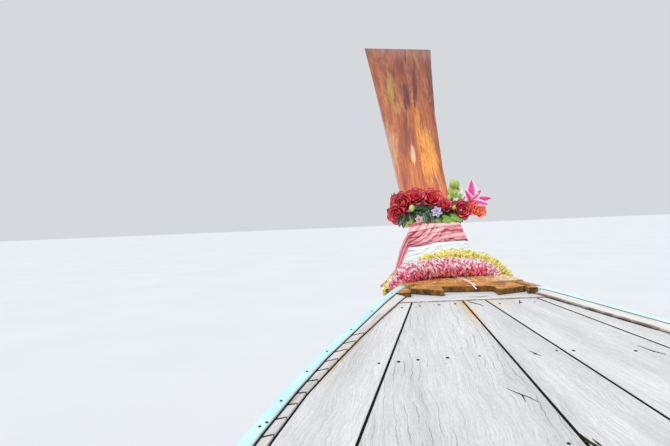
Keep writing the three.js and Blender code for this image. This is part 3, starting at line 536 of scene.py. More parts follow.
for x in (2.610, 2.125, 1.775, 1.350):
    DECK_NAILS += [(x, y) for y in (0.450, 0.360, 0.180, -0.080, -0.330, -0.480)]
# Tints by the edges: amber by the seams, and on plank 5 grime with painted shade along the starboard gap.
# Each: which edge, how wide, from and to which x, colour, weight
DECK_STAINS_AND_SHADE = {
    1: [("port_gap", 0.010, 2.82, 3.42, "#d09a4c", 0.7)],
    2: [
        ("starboard_gap", 0.030, 3.12, 3.42, "#e8bd7c", 0.7),
        ("starboard_gap", 0.012, 3.20, 3.42, "#dc9a45", 0.8),
    ],
    3: [("port_gap", 0.020, 3.16, 3.42, "#e6bf85", 0.7)],
    4: [("port_gap", 0.050, 3.26, 3.42, "#ecd2a6", 0.5)],
    5: [("starboard_gap", 0.010, 1.20, 3.42, "#3f2716", 0.95)],
}


def edge_tinted(wire, place, colour, edge, wide, start, end, tint, weight):
    """Darkens the wood beside one edge between two places along the deck."""
    gap = wire("Attribute", out="Fac", attribute_name=edge)
    near = wire("MapRange", (gap, wide * 0.35, wide, 1.0, 0.0))
    x = wire("SeparateXYZ", place, out="X")
    after = wire("MapRange", (x, start, start + 0.10))
    before = wire("MapRange", (x, end - 0.02, end, 1.0, 0.0))
    blotch = wire("TexNoise", place, Scale=26.0, Detail=4.0, Roughness=0.7)
    broken = wire("ValToRGB", blotch, stops=[(0.36, 0.25), (0.56, weight)])
    mask = wire("Math", (near, after), operation="MULTIPLY")
    mask = wire("Math", (mask, before), operation="MULTIPLY")
    mask = wire("Math", (mask, broken), operation="MULTIPLY")
    return wire("MixRGB", (mask, colour, tint))


def deck_height(x):
    return DECK_FRONT[1] + (x - DECK_FRONT[0]) * DECK_SLOPE


def silvered_plank(wire, place, heading, seed, cracked, stains):
    """Bare hardwood bleached by the sun: silver-white, with wavy grey cracks along the grain.

    Real fibres are finer than a pixel, so they are drawn 3 mm wide.
    """
    turned = wire("Mapping", place, Rotation=(0.0, 0.0, math.radians(-heading)))
    moved = wire("Mapping", turned, Location=(seed, seed * 1.7, 0.0))
    sway_place = wire("Mapping", moved, Scale=(7.0, 9.0, 1.0))
    sway = wire("TexNoise", sway_place, Scale=1.0, Detail=1.0, out="Color")
    bend = wire("VectorMath", (sway, (0.0, 0.030, 0.0)), operation="MULTIPLY")
    ripple_place = wire("Mapping", moved, Scale=(38.0, 26.0, 1.0))
    ripple = wire("TexNoise", ripple_place, Scale=1.0, Detail=2.0, out="Color")
    shiver = wire("VectorMath", (ripple, (0.0, 0.012, 0.0)), operation="MULTIPLY")
    both = wire("VectorMath", (bend, shiver), operation="ADD")
    course = wire("VectorMath", (moved, both), operation="ADD")
    broad_place = wire("Mapping", course, Scale=(1.6, 9.0, 1.0))
    broad = wire("TexNoise", broad_place, Scale=1.0, Detail=5.0, Roughness=0.65)
    base = wire("ValToRGB", broad, stops=[(0.32, "#d2d1d1"), (0.66, "#ececed")])
    fine_place = wire("Mapping", course, Scale=(11.0, 330.0, 1.0))
    fine = wire("TexNoise", fine_place, Scale=1.0, Detail=3.0, Roughness=0.75)
    fibre = wire("ValToRGB", fine, stops=[(0.34, 0.80), (0.60, 1.0)])
    base = wire("MixRGB", (1.0, base, fibre), blend_type="MULTIPLY")
    speck_place = wire("Mapping", course, Scale=(90.0, 170.0, 1.0))
    speck = wire("TexNoise", speck_place, Scale=1.0, Detail=3.0, Roughness=0.8)
    worn = wire("MapRange", (speck, 0.3, 0.7, 0.90, 1.08))
    base = wire("VectorMath", base, Scale=worn, operation="SCALE")
    row = wire("SeparateXYZ", course, out="Y")
    spaced = wire("Math", (row, 54.0), operation="MULTIPLY")
    saw = wire("Math", spaced, operation="FRACT")
    off = wire("Math", (saw, 0.5), operation="SUBTRACT")
    near = wire("Math", off, operation="ABSOLUTE")
    line = wire("ValToRGB", near, stops=[(0.0, 1.0), (0.055, 0.0)])
    broken_place = wire("Mapping", moved, Scale=(12.0, 50.0, 1.0))
    broken = wire("TexNoise", broken_place, Scale=1.0, Detail=2.0)
    length = wire("ValToRGB", broken, stops=[(0.44, 0.0), (0.55, 1.0)])
    crack = wire("Math", (line, length), operation="MULTIPLY")
    region_place = wire("Mapping", moved, Scale=(1.6, 6.5, 1.0))
    region = wire("TexNoise", region_place, Scale=1.0, Detail=1.0)
    where = wire("ValToRGB", region, stops=[(0.36, 0.25), (0.56, 1.0)])
    crack = wire("Math", (crack, where), operation="MULTIPLY")
    inked = wire("Math", (crack, cracked), operation="MULTIPLY")
    colour = wire("MixRGB", (inked, base, "#57504e"))
    for edge_mark in stains:
        colour = edge_tinted(wire, place, colour, *edge_mark)
    height = wire("Math", (fibre, inked), operation="SUBTRACT")
    bump = wire("Bump", Height=height, Strength=0.35, Distance=0.0015)
    return wire("BsdfPrincipled", {"Base Color": colour, "Roughness": 0.8, "Normal": bump})


def pitch(wire, place, pale="#0e0b0a", deep="#030303"):
    """Tar run into a seam: near black, lumpy and dull. Its colours serve for grime and painted shade in
    splits too.
    """
    lumps = wire("TexNoise", place, Scale=90.0, Detail=4.0)
    colour = wire("ValToRGB", lumps, stops=[(0.3, deep), (0.75, pale)])
    bump = wire("Bump", Height=lumps, Strength=0.5, Distance=0.002)
    return wire(
        "BsdfPrincipled",
        {"Base Color": colour, "Roughness": 0.8, "Normal": bump, "Specular IOR Level": 0.15},
    )


def shaped_grid(across, along, form):
    """A sheet of quads whose points form() places, from two shares between 0 and 1."""
    bpy.ops.mesh.primitive_grid_add(x_subdivisions=across, y_subdivisions=along, size=1.0)
    sheet = bpy.context.object
    for point in sheet.data.vertices:
        point.co = form(point.co.x + 0.5, point.co.y + 0.5)
    return sheet


def line_y(line, x):
    return float(np.interp(x, [p[0] for p in line], [p[1] for p in line]))


def note_edges(piece, port_line, starboard_line):
    """Notes at each point how far it lies from the lines along a board's two sides."""
    points = [v.co for v in piece.data.vertices]
    note(piece, "port_gap", [line_y(port_line, p.x) - p.y for p in points])
    note(piece, "starboard_gap", [p.y - line_y(starboard_line, p.x) for p in points])


plank_lines = [PORT_EDGE, *SEAMS, STARBOARD_EDGE]
DECK_SLICES = sorted({x for line in plank_lines for x, _ in line if 1.3 < x < 3.5})
for i, heading in enumerate(PLANK_HEADINGS):
    number = i + 1
    bleached = material_of(
        f"silvered_plank_{number}", silvered_plank, heading=heading, seed=3.1 * i + 0.4,
        cracked=PLANK_CRACKS[i], stains=DECK_STAINS_AND_SHADE.get(number, ()),
    )
    plank = eased(
        f"deck_plank_{number}", f"bleached_plank_{number}", 0.0015, bleached,
        smooth=25.0, slices=DECK_SLICES,
    )
    note_edges(plank, plank_lines[i], plank_lines[i + 1])

black_pitch = material_of("black_seam_pitch", pitch)
for i, line in enumerate(SEAMS):

    def bead(u, v):
        x = line[0][0] + (line[-1][0] - line[0][0]) * v
        return Vector((x, line_y(line, x) + (0.5 - u) * SEAM_WIDTH, deck_height(x) + NAIL_PROUD))

    strip = shaped_grid(2, 40, bead)
    add_modifier(strip, "SOLIDIFY", thickness=SEAM_DEPTH, offset=-1.0)
    settle(strip, f"seam_pitch_{i + 1}", black_pitch)

sizes = random.Random(5)
deck_spots = [
    Matrix.Translation((x, y, deck_height(x) + NAIL_PROUD))
    @ Matrix.Rotation(-DECK_ANGLE, 4, "Y")
    @ Matrix.Scale(sizes.uniform(0.7, 1.1), 4)
    for x, y in DECK_NAILS
]
settle(copies(nail_head(DECK_NAIL_RADIUS, NAIL_DEPTH), deck_spots), "deck_nails", nail_iron)

# Splits: places along each, with the width there
SPLITS = [
    [
        (2.800, 0.108, 0.0010), (2.786, 0.099, 0.0020), (2.774, 0.090, 0.0032), (2.762, 0.080, 0.0022),
        (2.745, 0.071, 0.0008),
    ],
    [(2.774, 0.090, 0.0026), (2.760, 0.091, 0.0018), (2.747, 0.093, 0.0006)],
    [(2.640, 0.049, 0.0010), (2.617, 0.046, 0.0060), (2.600, 0.040, 0.0090), (2.585, 0.036, 0.0020)],
    [(2.625, 0.037, 0.0008), (2.612, 0.035, 0.0040), (2.600, 0.033, 0.0010)],
    [(3.398, 0.021, 0.0010), (3.376, 0.013, 0.0060), (3.352, -0.006, 0.0050), (3.336, -0.012, 0.0008)],
    [(3.384, -0.140, 0.0008), (3.360, -0.133, 0.0050), (3.342, -0.124, 0.0010)],
    [(2.985, -0.262, 0.0008), (2.950, -0.275, 0.0045), (2.930, -0.290, 0.0010)],
    [(2.978, -0.008, 0.0006), (2.961, -0.014, 0.0036), (2.948, -0.022, 0.0006)],
    [(3.440, -0.060, 0.0008), (3.431, -0.028, 0.0036), (3.436, 0.010, 0.0008)],
]
split_mesh = bmesh.new()
for line in SPLITS:
    sides = []
    for k, (x, y, wide) in enumerate(line):
        (xa, ya, _), (xb, yb, _) = line[max(k - 1, 0)], line[min(k + 1, len(line) - 1)]
        across = Vector((ya - yb, xb - xa, 0.0)).normalized() * wide / 2
        level = deck_height(x) + (0.0014 if x > DECK_FRONT[0] else 0.0003)
        sides.append([split_mesh.verts.new(Vector((x, y, level)) + across * way) for way in (1, -1)])
    for a, b in zip(sides, sides[1:]):
        split_mesh.faces.new((a[0], a[1], b[1], b[0]))
for face in split_mesh.faces:
    if face.normal.z < 0:
        face.normal_flip()
splits = piece_of(split_mesh, "splits")
add_modifier(splits, "SOLIDIFY", thickness=SPLIT_DEPTH, offset=1.0)
# The splits are dark strips on the deck: grime and painted shade inside each crack.
split_wood = material_of("shadowed_split_wood", pitch, pale="#4a3626", deep="#17100b")
settle(splits, "drying_splits", split_wood)


# Edges of the foredeck: beige worn boards along the sides, the port one kerfed with a saw
# so that it would bend, a closing board across the front, and the carrying beams below.
def worn_margin(wire, place, heading, stains):
    """Unpainted softer wood trodden beige, its streaked grain standing a little proud."""
    turned = wire("Mapping", place, Rotation=(0.0, 0.0, math.radians(-heading)))
    grain_place = wire("Mapping", turned, Scale=(5.0, 110.0, 30.0))
    grain = wire("TexNoise", grain_place, Scale=1.0, Detail=4.0, Roughness=0.65)
    colour = wire("ValToRGB", grain, stops=[(0.32, "#c3b7ac"), (0.66, "#efedeb"), (0.46, "#e3dfdb")])
    patch = wire("TexNoise", place, Scale=9.0, Detail=5.0, Roughness=0.7)
    damp = wire("ValToRGB", patch, stops=[(0.56, 0.0), (0.72, 0.4)])
    colour = wire("MixRGB", (damp, colour, "#c9a68a"))
    for edge_mark in stains:
        colour = edge_tinted(wire, place, colour, *edge_mark)
    bump = wire("Bump", Height=grain, Strength=0.35, Distance=0.0015)
    return wire("BsdfPrincipled", {"Base Color": colour, "Roughness": 0.8, "Normal": bump})


def sawn(node, cuts, gap, width, slices=()):
    """A solid cut right through at each (place, way) in turn, its pieces' edges eased."""
    pieces = []
    for i in range(len(cuts) + 1):
        piece = merged_copy(node, slices)
        select_only(piece)
        bpy.ops.object.mode_set(mode="EDIT")
        sides = [(*cut, True) for cut in cuts[i - 1 : i]] + [(*cut, False) for cut in cuts[i : i + 1]]
        for spot, way, inner in sides:
            way = Vector(way).normalized()
            spot = Vector(spot) + way * (gap / 2 if inner else -gap / 2)
            bpy.ops.mesh.select_all(action="SELECT")
            bpy.ops.mesh.bisect(
                plane_co=spot, plane_no=way, use_fill=True, clear_inner=inner, clear_outer=not inner
            )
        bpy.ops.object.mode_set(mode="OBJECT")
        if piece.data.polygons:
            add_modifier(piece, "BEVEL", width=width, segments=2, limit_method="ANGLE", angle_limit=0.5)
            pieces.append(piece)
        else:
            bpy.data.objects.remove(piece)
    return pieces


def joined(parts):
    """Several pieces as one."""
    bpy.ops.object.select_all(action="DESELECT")
    for part in parts:
        part.select_set(True)
    bpy.context.view_layer.objects.active = parts[0]
    bpy.ops.object.join()
    return bpy.context.object


KERFS = [2.647, 2.695, 2.737, 2.781, 2.829, 2.881, 2.934, 2.984, 3.038]
KERF_PITCH, KERF_GAP = 0.049, 0.0026
KERF_WAY = (0.64, 0.77, 0.0)
MARGIN_START, MARGIN_END = 1.32, {"port": 3.490, "starboard": 3.452}
MARGIN_WIDTH = 0.036
GRIME_AND_SHADE_INSET = 0.0012
MARGIN_STAINS_AND_SHADE = {
    "port": [("port_gap", 0.012, 1.2, 3.5, "#a9693c", 0.7)],
    # Starboard: grime and painted shade along the margin's inner edge, by the gap.
    "starboard": [("port_gap", 0.005, 1.2, 3.5, "#5a3a20", 0.8)],
}
for side, edge, sign in (("port", PORT_EDGE, 1), ("starboard", STARBOARD_EDGE, -1)):
    cuts = [((MARGIN_END[side], 0.0, 0.0), (1.0, 0.0, 0.0))]
    if side == "port":
        kerf_xs = [round(KERFS[0] - KERF_PITCH * k, 3) for k in range(26, 0, -1)] + KERFS
        cuts = [((x, line_y(PORT_EDGE, x) + 0.040, 0.0), KERF_WAY) for x in kerf_xs] + cuts
    boards = sawn("margin_" + side, cuts, KERF_GAP, 0.0005, DECK_SLICES)
    bpy.data.objects.remove(boards.pop())
    lines = [[(x, y + sign * width) for x, y in edge] for width in (MARGIN_WIDTH, 0.003)]
    board = joined(boards)
    note_edges(board, *lines[::sign])
    worn = material_of("worn_margin_" + side, worn_margin, heading=-22.0 * sign, stains=MARGIN_STAINS_AND_SHADE[side])
    settle(board, "worn_margin_" + side, worn, smooth=25.0, stands_for="margin_" + side)

    def outer_seam(u, v):
        x = MARGIN_START + (MARGIN_END[side] - MARGIN_START) * v
        y, z = top_line("margin_" + side, x, 1.0)
        return Vector((x, y + 0.0036 * (0.5 - u) + sign * 0.0003, z + 0.0010 * (1 - abs(2 * u - 1))))

    def inner_seam(u, v):
        x = MARGIN_START + (MARGIN_END[side] - MARGIN_START) * v
        y = line_y(edge, x) + sign * 0.0014
        return Vector((x, y + 0.0042 * (0.5 - u), deck_height(x) + 0.0004 + 0.0006 * (1 - abs(2 * u - 1))))

    payed = []
    for seam in (outer_seam, inner_seam):
        payed.append(shaped_grid(4, 60, seam))
        add_modifier(payed[-1], "SOLIDIFY", thickness=0.004, offset=-1.0)
    settle(joined(payed), "margin_pitch_" + side, black_pitch)

# A dark copy of the port margin, sunk just inside it, shows in the kerfs as grime and painted shade.
grime_and_shade_core = merged_copy("margin_port")
for point in grime_and_shade_core.data.vertices:
    point.co -= point.normal * GRIME_AND_SHADE_INSET
settle(grime_and_shade_core, "grime_and_shade_in_kerfs", split_wood, smooth=25.0)

FRONT_BOARD_AFT = 3.403
end_stains = [("starboard_gap", 0.008, 3.0, 3.7, "#8a5b2e", 0.9)]
bleached_end = material_of(
    "silvered_front_board", silvered_plank, heading=90.0, seed=21.0, cracked=0.5, stains=end_stains,
)
front = eased("front_board", "bleached_front_board", 0.0015, bleached_end)
note(front, "starboard_gap", [v.co.x - FRONT_BOARD_AFT for v in front.data.vertices])
beam_wood = material_of(
    "unpainted_beam_wood", timber, pale="#a58a6b", deep="#6a4f38", rough=0.8, worn="#b9a486",
)
finish_nodes(beam_wood, "deck_beams", "framing")


# Breast timber: a thick offcut hewn to three steps, its top orange in painted light and its rough
# sawn after faces dark brown in painted shade; two small chocks close the corners.
def hewn_timber(wire, place):
    """Hardwood hewn and left rough: orange on top in painted light, dark brown on the faces below in painted
    shade.
    """
    grain_place = wire("Mapping", place, Scale=(160.0, 9.0, 160.0))
    grain = wire("TexNoise", grain_place, Scale=1.0, Detail=5.0, Roughness=0.7)
    upper = wire("ValToRGB", grain, stops=[(0.34, "#94561f"), (0.62, "#eaa650")])
    chopped_place = wire("Mapping", place, Scale=(60.0, 75.0, 45.0))
    chopped = wire("TexNoise", chopped_place, Scale=1.0, Detail=5.0, Roughness=0.7)
    lower = wire("ValToRGB", chopped, stops=[(0.36, "#241204"), (0.66, "#a0691f")])
    # Painted light and shade: faces that look up take the orange top tone, the others the dark brown one.
    turned_to = wire("TexCoord", out="Normal")
    level = wire("SeparateXYZ", turned_to, out="Z")
    painted_light_mask = wire("ValToRGB", level, stops=[(0.55, 0.0), (0.80, 1.0)])
    colour = wire("MixRGB", (painted_light_mask, lower, upper))
    patch = wire("TexNoise", place, Scale=24.0, Detail=4.0, Roughness=0.65)
    worn = wire("MapRange", (patch, 0.38, 0.62, 0.60, 1.18))
    colour = wire("VectorMath", colour, Scale=worn, operation="SCALE")
    bump = wire("Bump", Height=chopped, Strength=0.5, Distance=0.003)
    return wire("BsdfPrincipled", {"Base Color": colour, "Roughness": 0.7, "Normal": bump})


def roughened(piece, voxel, depth, spacing_mm):
    """Breaks up a hewn surface with shallow tool marks."""
    add_modifier(piece, "REMESH", mode="VOXEL", voxel_size=voxel)
    for point in piece.data.vertices:
        spot = point.co * (1000.0 / spacing_mm)
        marks = noise.noise(spot) + 0.5 * noise.noise(spot * 2.3)
        point.co += point.normal * depth * marks
    return piece


hewn = material_of("hewn_brown_timber", hewn_timber)
breast = merged_copy("breast_timber")
add_modifier(breast, "BEVEL", width=0.0025, segments=2, limit_method="ANGLE", angle_limit=0.5)
roughened(breast, 0.0028, 0.0011, 11.0)
settle(breast, "hewn_breast_timber", hewn, smooth=50.0, stands_for="breast_timber")
CHOCK_FOOT = 0.0018
# Chocks: height of the top above the deck, corners in plan
CHOCKS = {
    "port": (0.0175, [(3.461, 0.1900), (3.461, 0.2400), (3.512, 0.2160), (3.512, 0.1900)]),
    "starboard": (0.0225, [(3.445, -0.1930), (3.445, -0.2270), (3.464, -0.2200), (3.464, -0.1960)]),
}
for side, (top, plan) in CHOCKS.items():
    chock = bmesh.new()
    for rise in (CHOCK_FOOT, top):
        chock.faces.new([chock.verts.new((x, y, deck_height(x) + rise)) for x, y in plan])
    chock.verts.ensure_lookup_table()
    for k in range(4):
        low, high = chock.verts[k], chock.verts[k + 4]
        chock.faces.new((low, chock.verts[(k + 1) % 4], chock.verts[(k + 1) % 4 + 4], high))
    bmesh.ops.recalc_face_normals(chock, faces=chock.faces)
    piece = piece_of(chock, "chock")
    add_modifier(piece, "BEVEL", width=0.002, segments=2)
    roughened(piece, 0.0020, 0.0008, 9.0)
    settle(piece, "corner_chock_" + side, hewn, smooth=50.0)


# Sashes: a white cotton cloth and above it a pink satin one, each wound tight round the foot
# of the post, so the folds pull flat over the corners; the pink one's end hangs to port.
SASH_FOOT = Vector((4.000, 0.0, 1.150))
SASH_RISE = Vector((math.sin(math.radians(POST_LEAN)), 0.0, math.cos(math.radians(POST_LEAN))))
SASH_OUT = Vector((SASH_RISE.z, 0.0, -SASH_RISE.x))
POST_REACH = 0.5
CLOTH_THICKNESS = 0.001
WEAVE = 70.0


def cloth(wire, place, pale, mid, deep, rough, gloss):
    """Woven cloth drawn tight, with a soft sheen: pale on the folds and deep in the creases, in painted light
    and shade.

    Real threads are too fine to show, so they are drawn 4.5 mm apart.
    """
    # Painted light and shade: each point's fold value, pale on ridges and dark in creases, picks the tone.
    fold = wire("Attribute", out="Fac", attribute_name="reach")
    cloudy = wire("TexNoise", place, Scale=34.0, Detail=3.0)
    mixed = wire("Math", (cloudy, 0.3, fold), operation="MULTIPLY_ADD")
    tone = wire("ValToRGB", mixed, stops=[(0.18, deep), (0.95, pale), (0.52, mid)])
    weft = wire("TexWave", place, Scale=WEAVE, Distortion=0.6, bands_direction="Z")
    warp = wire("TexWave", place, Scale=WEAVE, Distortion=0.6, bands_direction="Y")
    weave = wire("Math", (weft, warp), operation="MULTIPLY")
    bump = wire("Bump", Height=weave, Strength=0.12, Distance=0.0004)
    return wire(
        "BsdfPrincipled",
        {
            "Base Color": tone, "Roughness": rough, "Normal": bump,
            "Sheen Weight": gloss, "Sheen Roughness": 0.4,
        },
    )


dressed = bmesh.new()
dressed.from_mesh(bpy.data.objects["carved_prow_post"].data)
post_tree = BVHTree.FromBMesh(dressed)
dressed.free()


def round_post(turn, rise, lift):
    """The place lift above the post's skin, at a turn round it and a rise along it."""
    heart = SASH_FOOT + SASH_RISE * rise + SASH_OUT * 0.055
    away = SASH_OUT * -math.cos(turn) + Vector((0.0, math.sin(turn), 0.0))
    hit = post_tree.ray_cast(heart + away * POST_REACH, -away)[0]
    return (hit or heart) + away * lift


def eased_step(x):
    x = min(1.0, max(0.0, x))
    return x * x * (3 - 2 * x)


def pleat(x):
    """A soft ridge between two sharp creases, once for each unit of x."""
    return math.sqrt(abs(math.sin(math.pi * x))) * 2 - 1.4


def close_up(piece, reach, caps=False):
    """Merges the points that meet at a seam, closes open ends, and faces all outwards."""
    shell = bmesh.new()
    shell.from_mesh(piece.data)
    bmesh.ops.remove_doubles(shell, verts=shell.verts, dist=reach)
    if caps:
        bmesh.ops.holes_fill(shell, edges=[e for e in shell.edges if e.is_boundary], sides=0)
    bmesh.ops.recalc_face_normals(shell, faces=shell.faces)
    shell.to_mesh(piece.data)
    shell.free()


def wound_sash(name, low, high, base, droop, depth, seed, material, node):
    """A cloth wound round the post, its pleats drawn from a knot low on the port side.

    Its edges lie low and high along the post, and it sags by droop to port.
    """
    draws = random.Random(seed)
    waves = [(draws.uniform(1, 5), draws.uniform(20, 70), draws.uniform(0, 6.28)) for _ in range(7)]
    folds = []

    def form(u, v):
        turn = (u - 0.5) * 2 * math.pi
        sagged = droop * eased_step((turn + 0.15) / 1.1) * (1 - eased_step((turn - 1.9) / 1.0))
        foot = low - sagged + 0.0025 * math.sin(3 * turn + seed)
        rise = foot + (high + 0.003 * math.sin(2 * turn + seed) - foot) * v
        across = 0.145 - 0.125 * math.sin(max(-1.5, min(turn, 1.5)))
        fan = math.atan2(rise - low + 0.052, across)
        wander = 0.10 * math.sin(9 * turn + seed) + 0.06 * math.sin(23 * turn + 2 * seed)
        drawn = 0.6 * pleat(fan * 4.2 + wander) + 0.4 * pleat(fan * 9.1 + 0.3 - wander)
        fine = sum(math.sin(turn * a + rise * b + c) for a, b, c in waves) / len(waves)
        puff = math.sin(math.pi * v) ** 0.5 if 0 < v < 1 else 0.0
        level = v + 0.10 * turn
        band = 0.45 if 0.76 < level < 0.97 else 0.0
        creases = [abs(level - at - 0.02 * math.sin(3 * turn)) for at in (0.73, 0.47)]
        crease = sum(max(0.0, 1 - away / 0.035) for away in creases)
        # Painted light and shade for the folds: darker on the port side, in the creases and at the edges,
        # pale on the ridges and the raised band.
        shaded = 0.34 * eased_step((turn - 0.5) / 0.7)
        lift = base + (depth * drawn + 0.0010 * fine + depth + 0.0015 * (band > 0) - 0.0016 * crease) * puff
        strength = depth / 0.0024
        painted_fold_light = 0.62 * drawn - 0.55 * crease - shaded
        folds.append(0.40 + strength * painted_fold_light + 0.22 * fine + band - 0.2 * (1 - puff))
        return round_post(turn, rise, max(lift, base * 0.8))

    sash = shaped_grid(200, 56, form)
    note(sash, "reach", folds)
    close_up(sash, 0.0004)
    add_modifier(sash, "SOLIDIFY", thickness=CLOTH_THICKNESS, offset=1.0)
    settle(sash, name, material, smooth=60.0, stands_for=node)


# Their pale and deep colours carry the painted light and shade of the folds: dark red in the pink's creases,
# blue-grey in the white's.
pink_satin = material_of(
    "faded_pink_satin", cloth, pale="#ffd0d3", mid="#e58690", deep="#8c1f33", rough=0.5, gloss=0.5,
)
white_cotton = material_of(
    "white_cotton", cloth, pale="#ffffff", mid="#edf1f3", deep="#8fa6b8", rough=0.8, gloss=0.3
)
wound_sash(
    "white_sash", -0.140, -0.016, 0.0022, 0.030, 0.0010, 3,
    white_cotton, "sash_white",
)
wound_sash(
    "pink_sash", -0.019, 0.104, 0.0075, 0.030, 0.0024, 5,
    pink_satin, "sash_pink",
)

FLAP_UPPER = [
    (4.062, 0.096, 1.208), (4.000, 0.134, 1.162), (3.950, 0.160, 1.121), (3.900, 0.181, 1.073),
    (3.870, 0.194, 1.042), (3.800, 0.237, 1.009), (3.760, 0.269, 0.991),
]
FLAP_LOWER = [
    (3.996, 0.092, 1.150), (3.960, 0.116, 1.127), (3.910, 0.146, 1.088), (3.880, 0.163, 1.057),
    (3.860, 0.176, 1.042), (3.797, 0.228, 1.004), (3.758, 0.264, 0.986),
]
FLAP_OUT = Vector((-0.62, 0.55, 0.56)).normalized()
flap_fold_shades = []


def point_along(line, share):
    """The point that lies share of the way down a list of points."""
    at = share * (len(line) - 1)
    return Vector([float(np.interp(at, range(len(line)), [p[k] for p in line])) for k in range(3)])


def hanging_end(u, v):
    """The loose end: it hangs between two lines, its folds flattest where it is held and at its foot."""
    low = point_along(FLAP_LOWER, v)
    spot = low + (point_along(FLAP_UPPER, v) - low) * u
    ridge = 0.7 * pleat(2.7 * u + 0.2 * math.sin(5 * v)) + 0.3 * pleat(5.2 * u + 0.4)
    # Painted light and shade: the ridges of the folds pale, their hollows dark.
    flap_fold_shades.append(0.22 + 0.62 * ridge)
    return spot + FLAP_OUT * (0.0045 * ridge * min(1.0, 0.35 + 2.4 * v * (1 - v)))


flap = shaped_grid(28, 70, hanging_end)
note(flap, "reach", flap_fold_shades)
add_modifier(flap, "SOLIDIFY", thickness=CLOTH_THICKNESS, offset=0.0)
settle(flap, "pink_sash_end", pink_satin, smooth=60.0, stands_for="sash_pink")


# Garlands: long strings of crinkled ribbon tufts, pink and then yellow, laid over the bow
# block so that they hang a little way down its sides.
STATIONS = 80
FOIL_THICKNESS, TIE_THICKNESS, TIE_WIDTH = 0.0006, 0.0009, 0.0036
PINK_PATH = [
    (3.604, 0.224, 0.994), (3.602, 0.212, 1.022), (3.603, 0.195, 1.042), (3.612, 0.165, 1.058),
    (3.623, 0.110, 1.065), (3.632, 0.052, 1.066), (3.640, -0.005, 1.065), (3.648, -0.062, 1.060),
    (3.655, -0.112, 1.049), (3.659, -0.146, 1.034), (3.661, -0.162, 1.014),
]
YELLOW_PATH = [
    (3.640, 0.246, 0.984), (3.667, 0.231, 0.999), (3.694, 0.186, 1.030), (3.708, 0.140, 1.054),
    (3.717, 0.084, 1.078), (3.725, 0.028, 1.092), (3.728, -0.028, 1.097), (3.730, -0.082, 1.090),
    (3.732, -0.134, 1.075), (3.733, -0.172, 1.054), (3.729, -0.203, 1.030), (3.723, -0.222, 1.004),
    (3.716, -0.230, 0.978),
]


def ribbon_foil(wire, place, pale, mid, deep):
    """Crimped plastic ribbon, softly glossy: strong colour, pale towards each curl's tip as a painted
    highlight.
    """
    shade = wire("Attribute", out="Fac", attribute_name="shade")
    tip = wire("Attribute", out="Fac", attribute_name="reach")
    painted_tip_light = wire("Math", (tip, 0.45), operation="MULTIPLY")
    both = wire("Math", (shade, painted_tip_light), operation="ADD")
    tone = wire("ValToRGB", both, stops=[(0.08, deep), (0.93, pale), (0.44, mid)])
    return wire("BsdfPrincipled", {"Base Color": tone, "Roughness": 0.38})


def curled_strip(length, width, curl):
    """One crinkled end of ribbon: a narrow strip that curls over and twists a little."""
    reach = []

    def form(u, v):
        bend, twist = v * curl, 0.7 * v
        radius = length / curl
        side = (u - 0.5) * width * (1 - 0.5 * v * v)
        reach.append(v)
        curled = radius * (1 - math.cos(bend)) + side * math.sin(twist) * 0.5
        return Vector((curled, side * math.cos(twist), radius * math.sin(bend)))

    strip = shaped_grid(1, 6, form)
    note(strip, "reach", reach)
    return strip


def smooth_path(points, count):
    """Points evenly spread along a smooth curve, with the direction at each."""
    rows = np.array(points)
    run = np.r_[0.0, np.cumsum(np.linalg.norm(np.diff(rows, axis=0), axis=1))]
    at = np.linspace(0.0, run[-1], count)
    spread = np.stack([np.interp(at, run, rows[:, k]) for k in range(3)], axis=1)
    for _ in range(count // 12):
        spread[1:-1] = (spread[:-2] + 2 * spread[1:-1] + spread[2:]) / 4
    return spread, np.gradient(spread, axis=0)


def tufted_garland(name, path, radius, amount, strip, thin, seed, material, node, ends=()):
    """Strips set at random all along a core, thinner by the share thin at both of its ends."""
    draws = random.Random(seed)
    centres, ways = smooth_path(path, STATIONS)

    def section(share):
        """Middle, direction, a side and the slimness at a share of the way along."""
        k = min(int(share * (STATIONS - 1)), STATIONS - 1)
        way = Vector(ways[k]).normalized()
        slim = 1.0 - thin * max(0.0, abs(share - 0.5) * 2 - 0.7) / 0.3
        return Vector(centres[k]), way, way.orthogonal().normalized(), slim

    places, shades = [], []
    for _ in range(amount):
        centre, way, side, slim = section(draws.random())
        out = (Matrix.Rotation(draws.uniform(0, 2 * math.pi), 3, way) @ side).normalized()
        out = (out + way * draws.uniform(-0.5, 0.5)).normalized()
        across = (way.cross(out) * draws.choice((-1, 1)) + way * draws.uniform(-1, 1)).normalized()
        across = (across - out * across.dot(out)).normalized()
        base = centre + out * (radius * slim * draws.uniform(0.42, 0.62))
        size = draws.uniform(0.75, 1.2) * (0.7 + 0.3 * slim)
        spin = Matrix((across, out.cross(across), out)).transposed().to_4x4()
        places.append(Matrix.Translation(base) @ spin @ Matrix.Scale(size, 4))
        # Tone differs at random, and with painted light: tufts facing up are pale, those facing down deep.
        shades.append(draws.uniform(0.0, 0.6) + 0.3 * out.z)
    tufts = copies(strip, places, shades)
    add_modifier(tufts, "SOLIDIFY", thickness=FOIL_THICKNESS, offset=0.0)

    def core_skin(u, v):
        centre, way, side, slim = section(v)
        out = Matrix.Rotation(2 * math.pi * u, 3, way) @ side
        return centre + out * radius * slim * (0.56 + 0.05 * math.sin(40 * v + 9 * u))

    core = shaped_grid(16, STATIONS, core_skin)
    note(core, "reach", 0.3)
    note(core, "shade", 0.25)
    parts = [tufts, core]
    for line in ends:

        def tie_end(u, v):
            spot = point_along(line, v)
            return spot + Vector((0.3, 1.0, 0.5 - v)) * ((u - 0.5) * TIE_WIDTH)

        parts.append(shaped_grid(2, 24, tie_end))
        add_modifier(parts[-1], "SOLIDIFY", thickness=TIE_THICKNESS, offset=0.0)
        for kept in ("reach", "shade"):
            note(parts[-1], kept, 1.0)
    settle(joined(parts), name, material, smooth=60.0, stands_for=node)


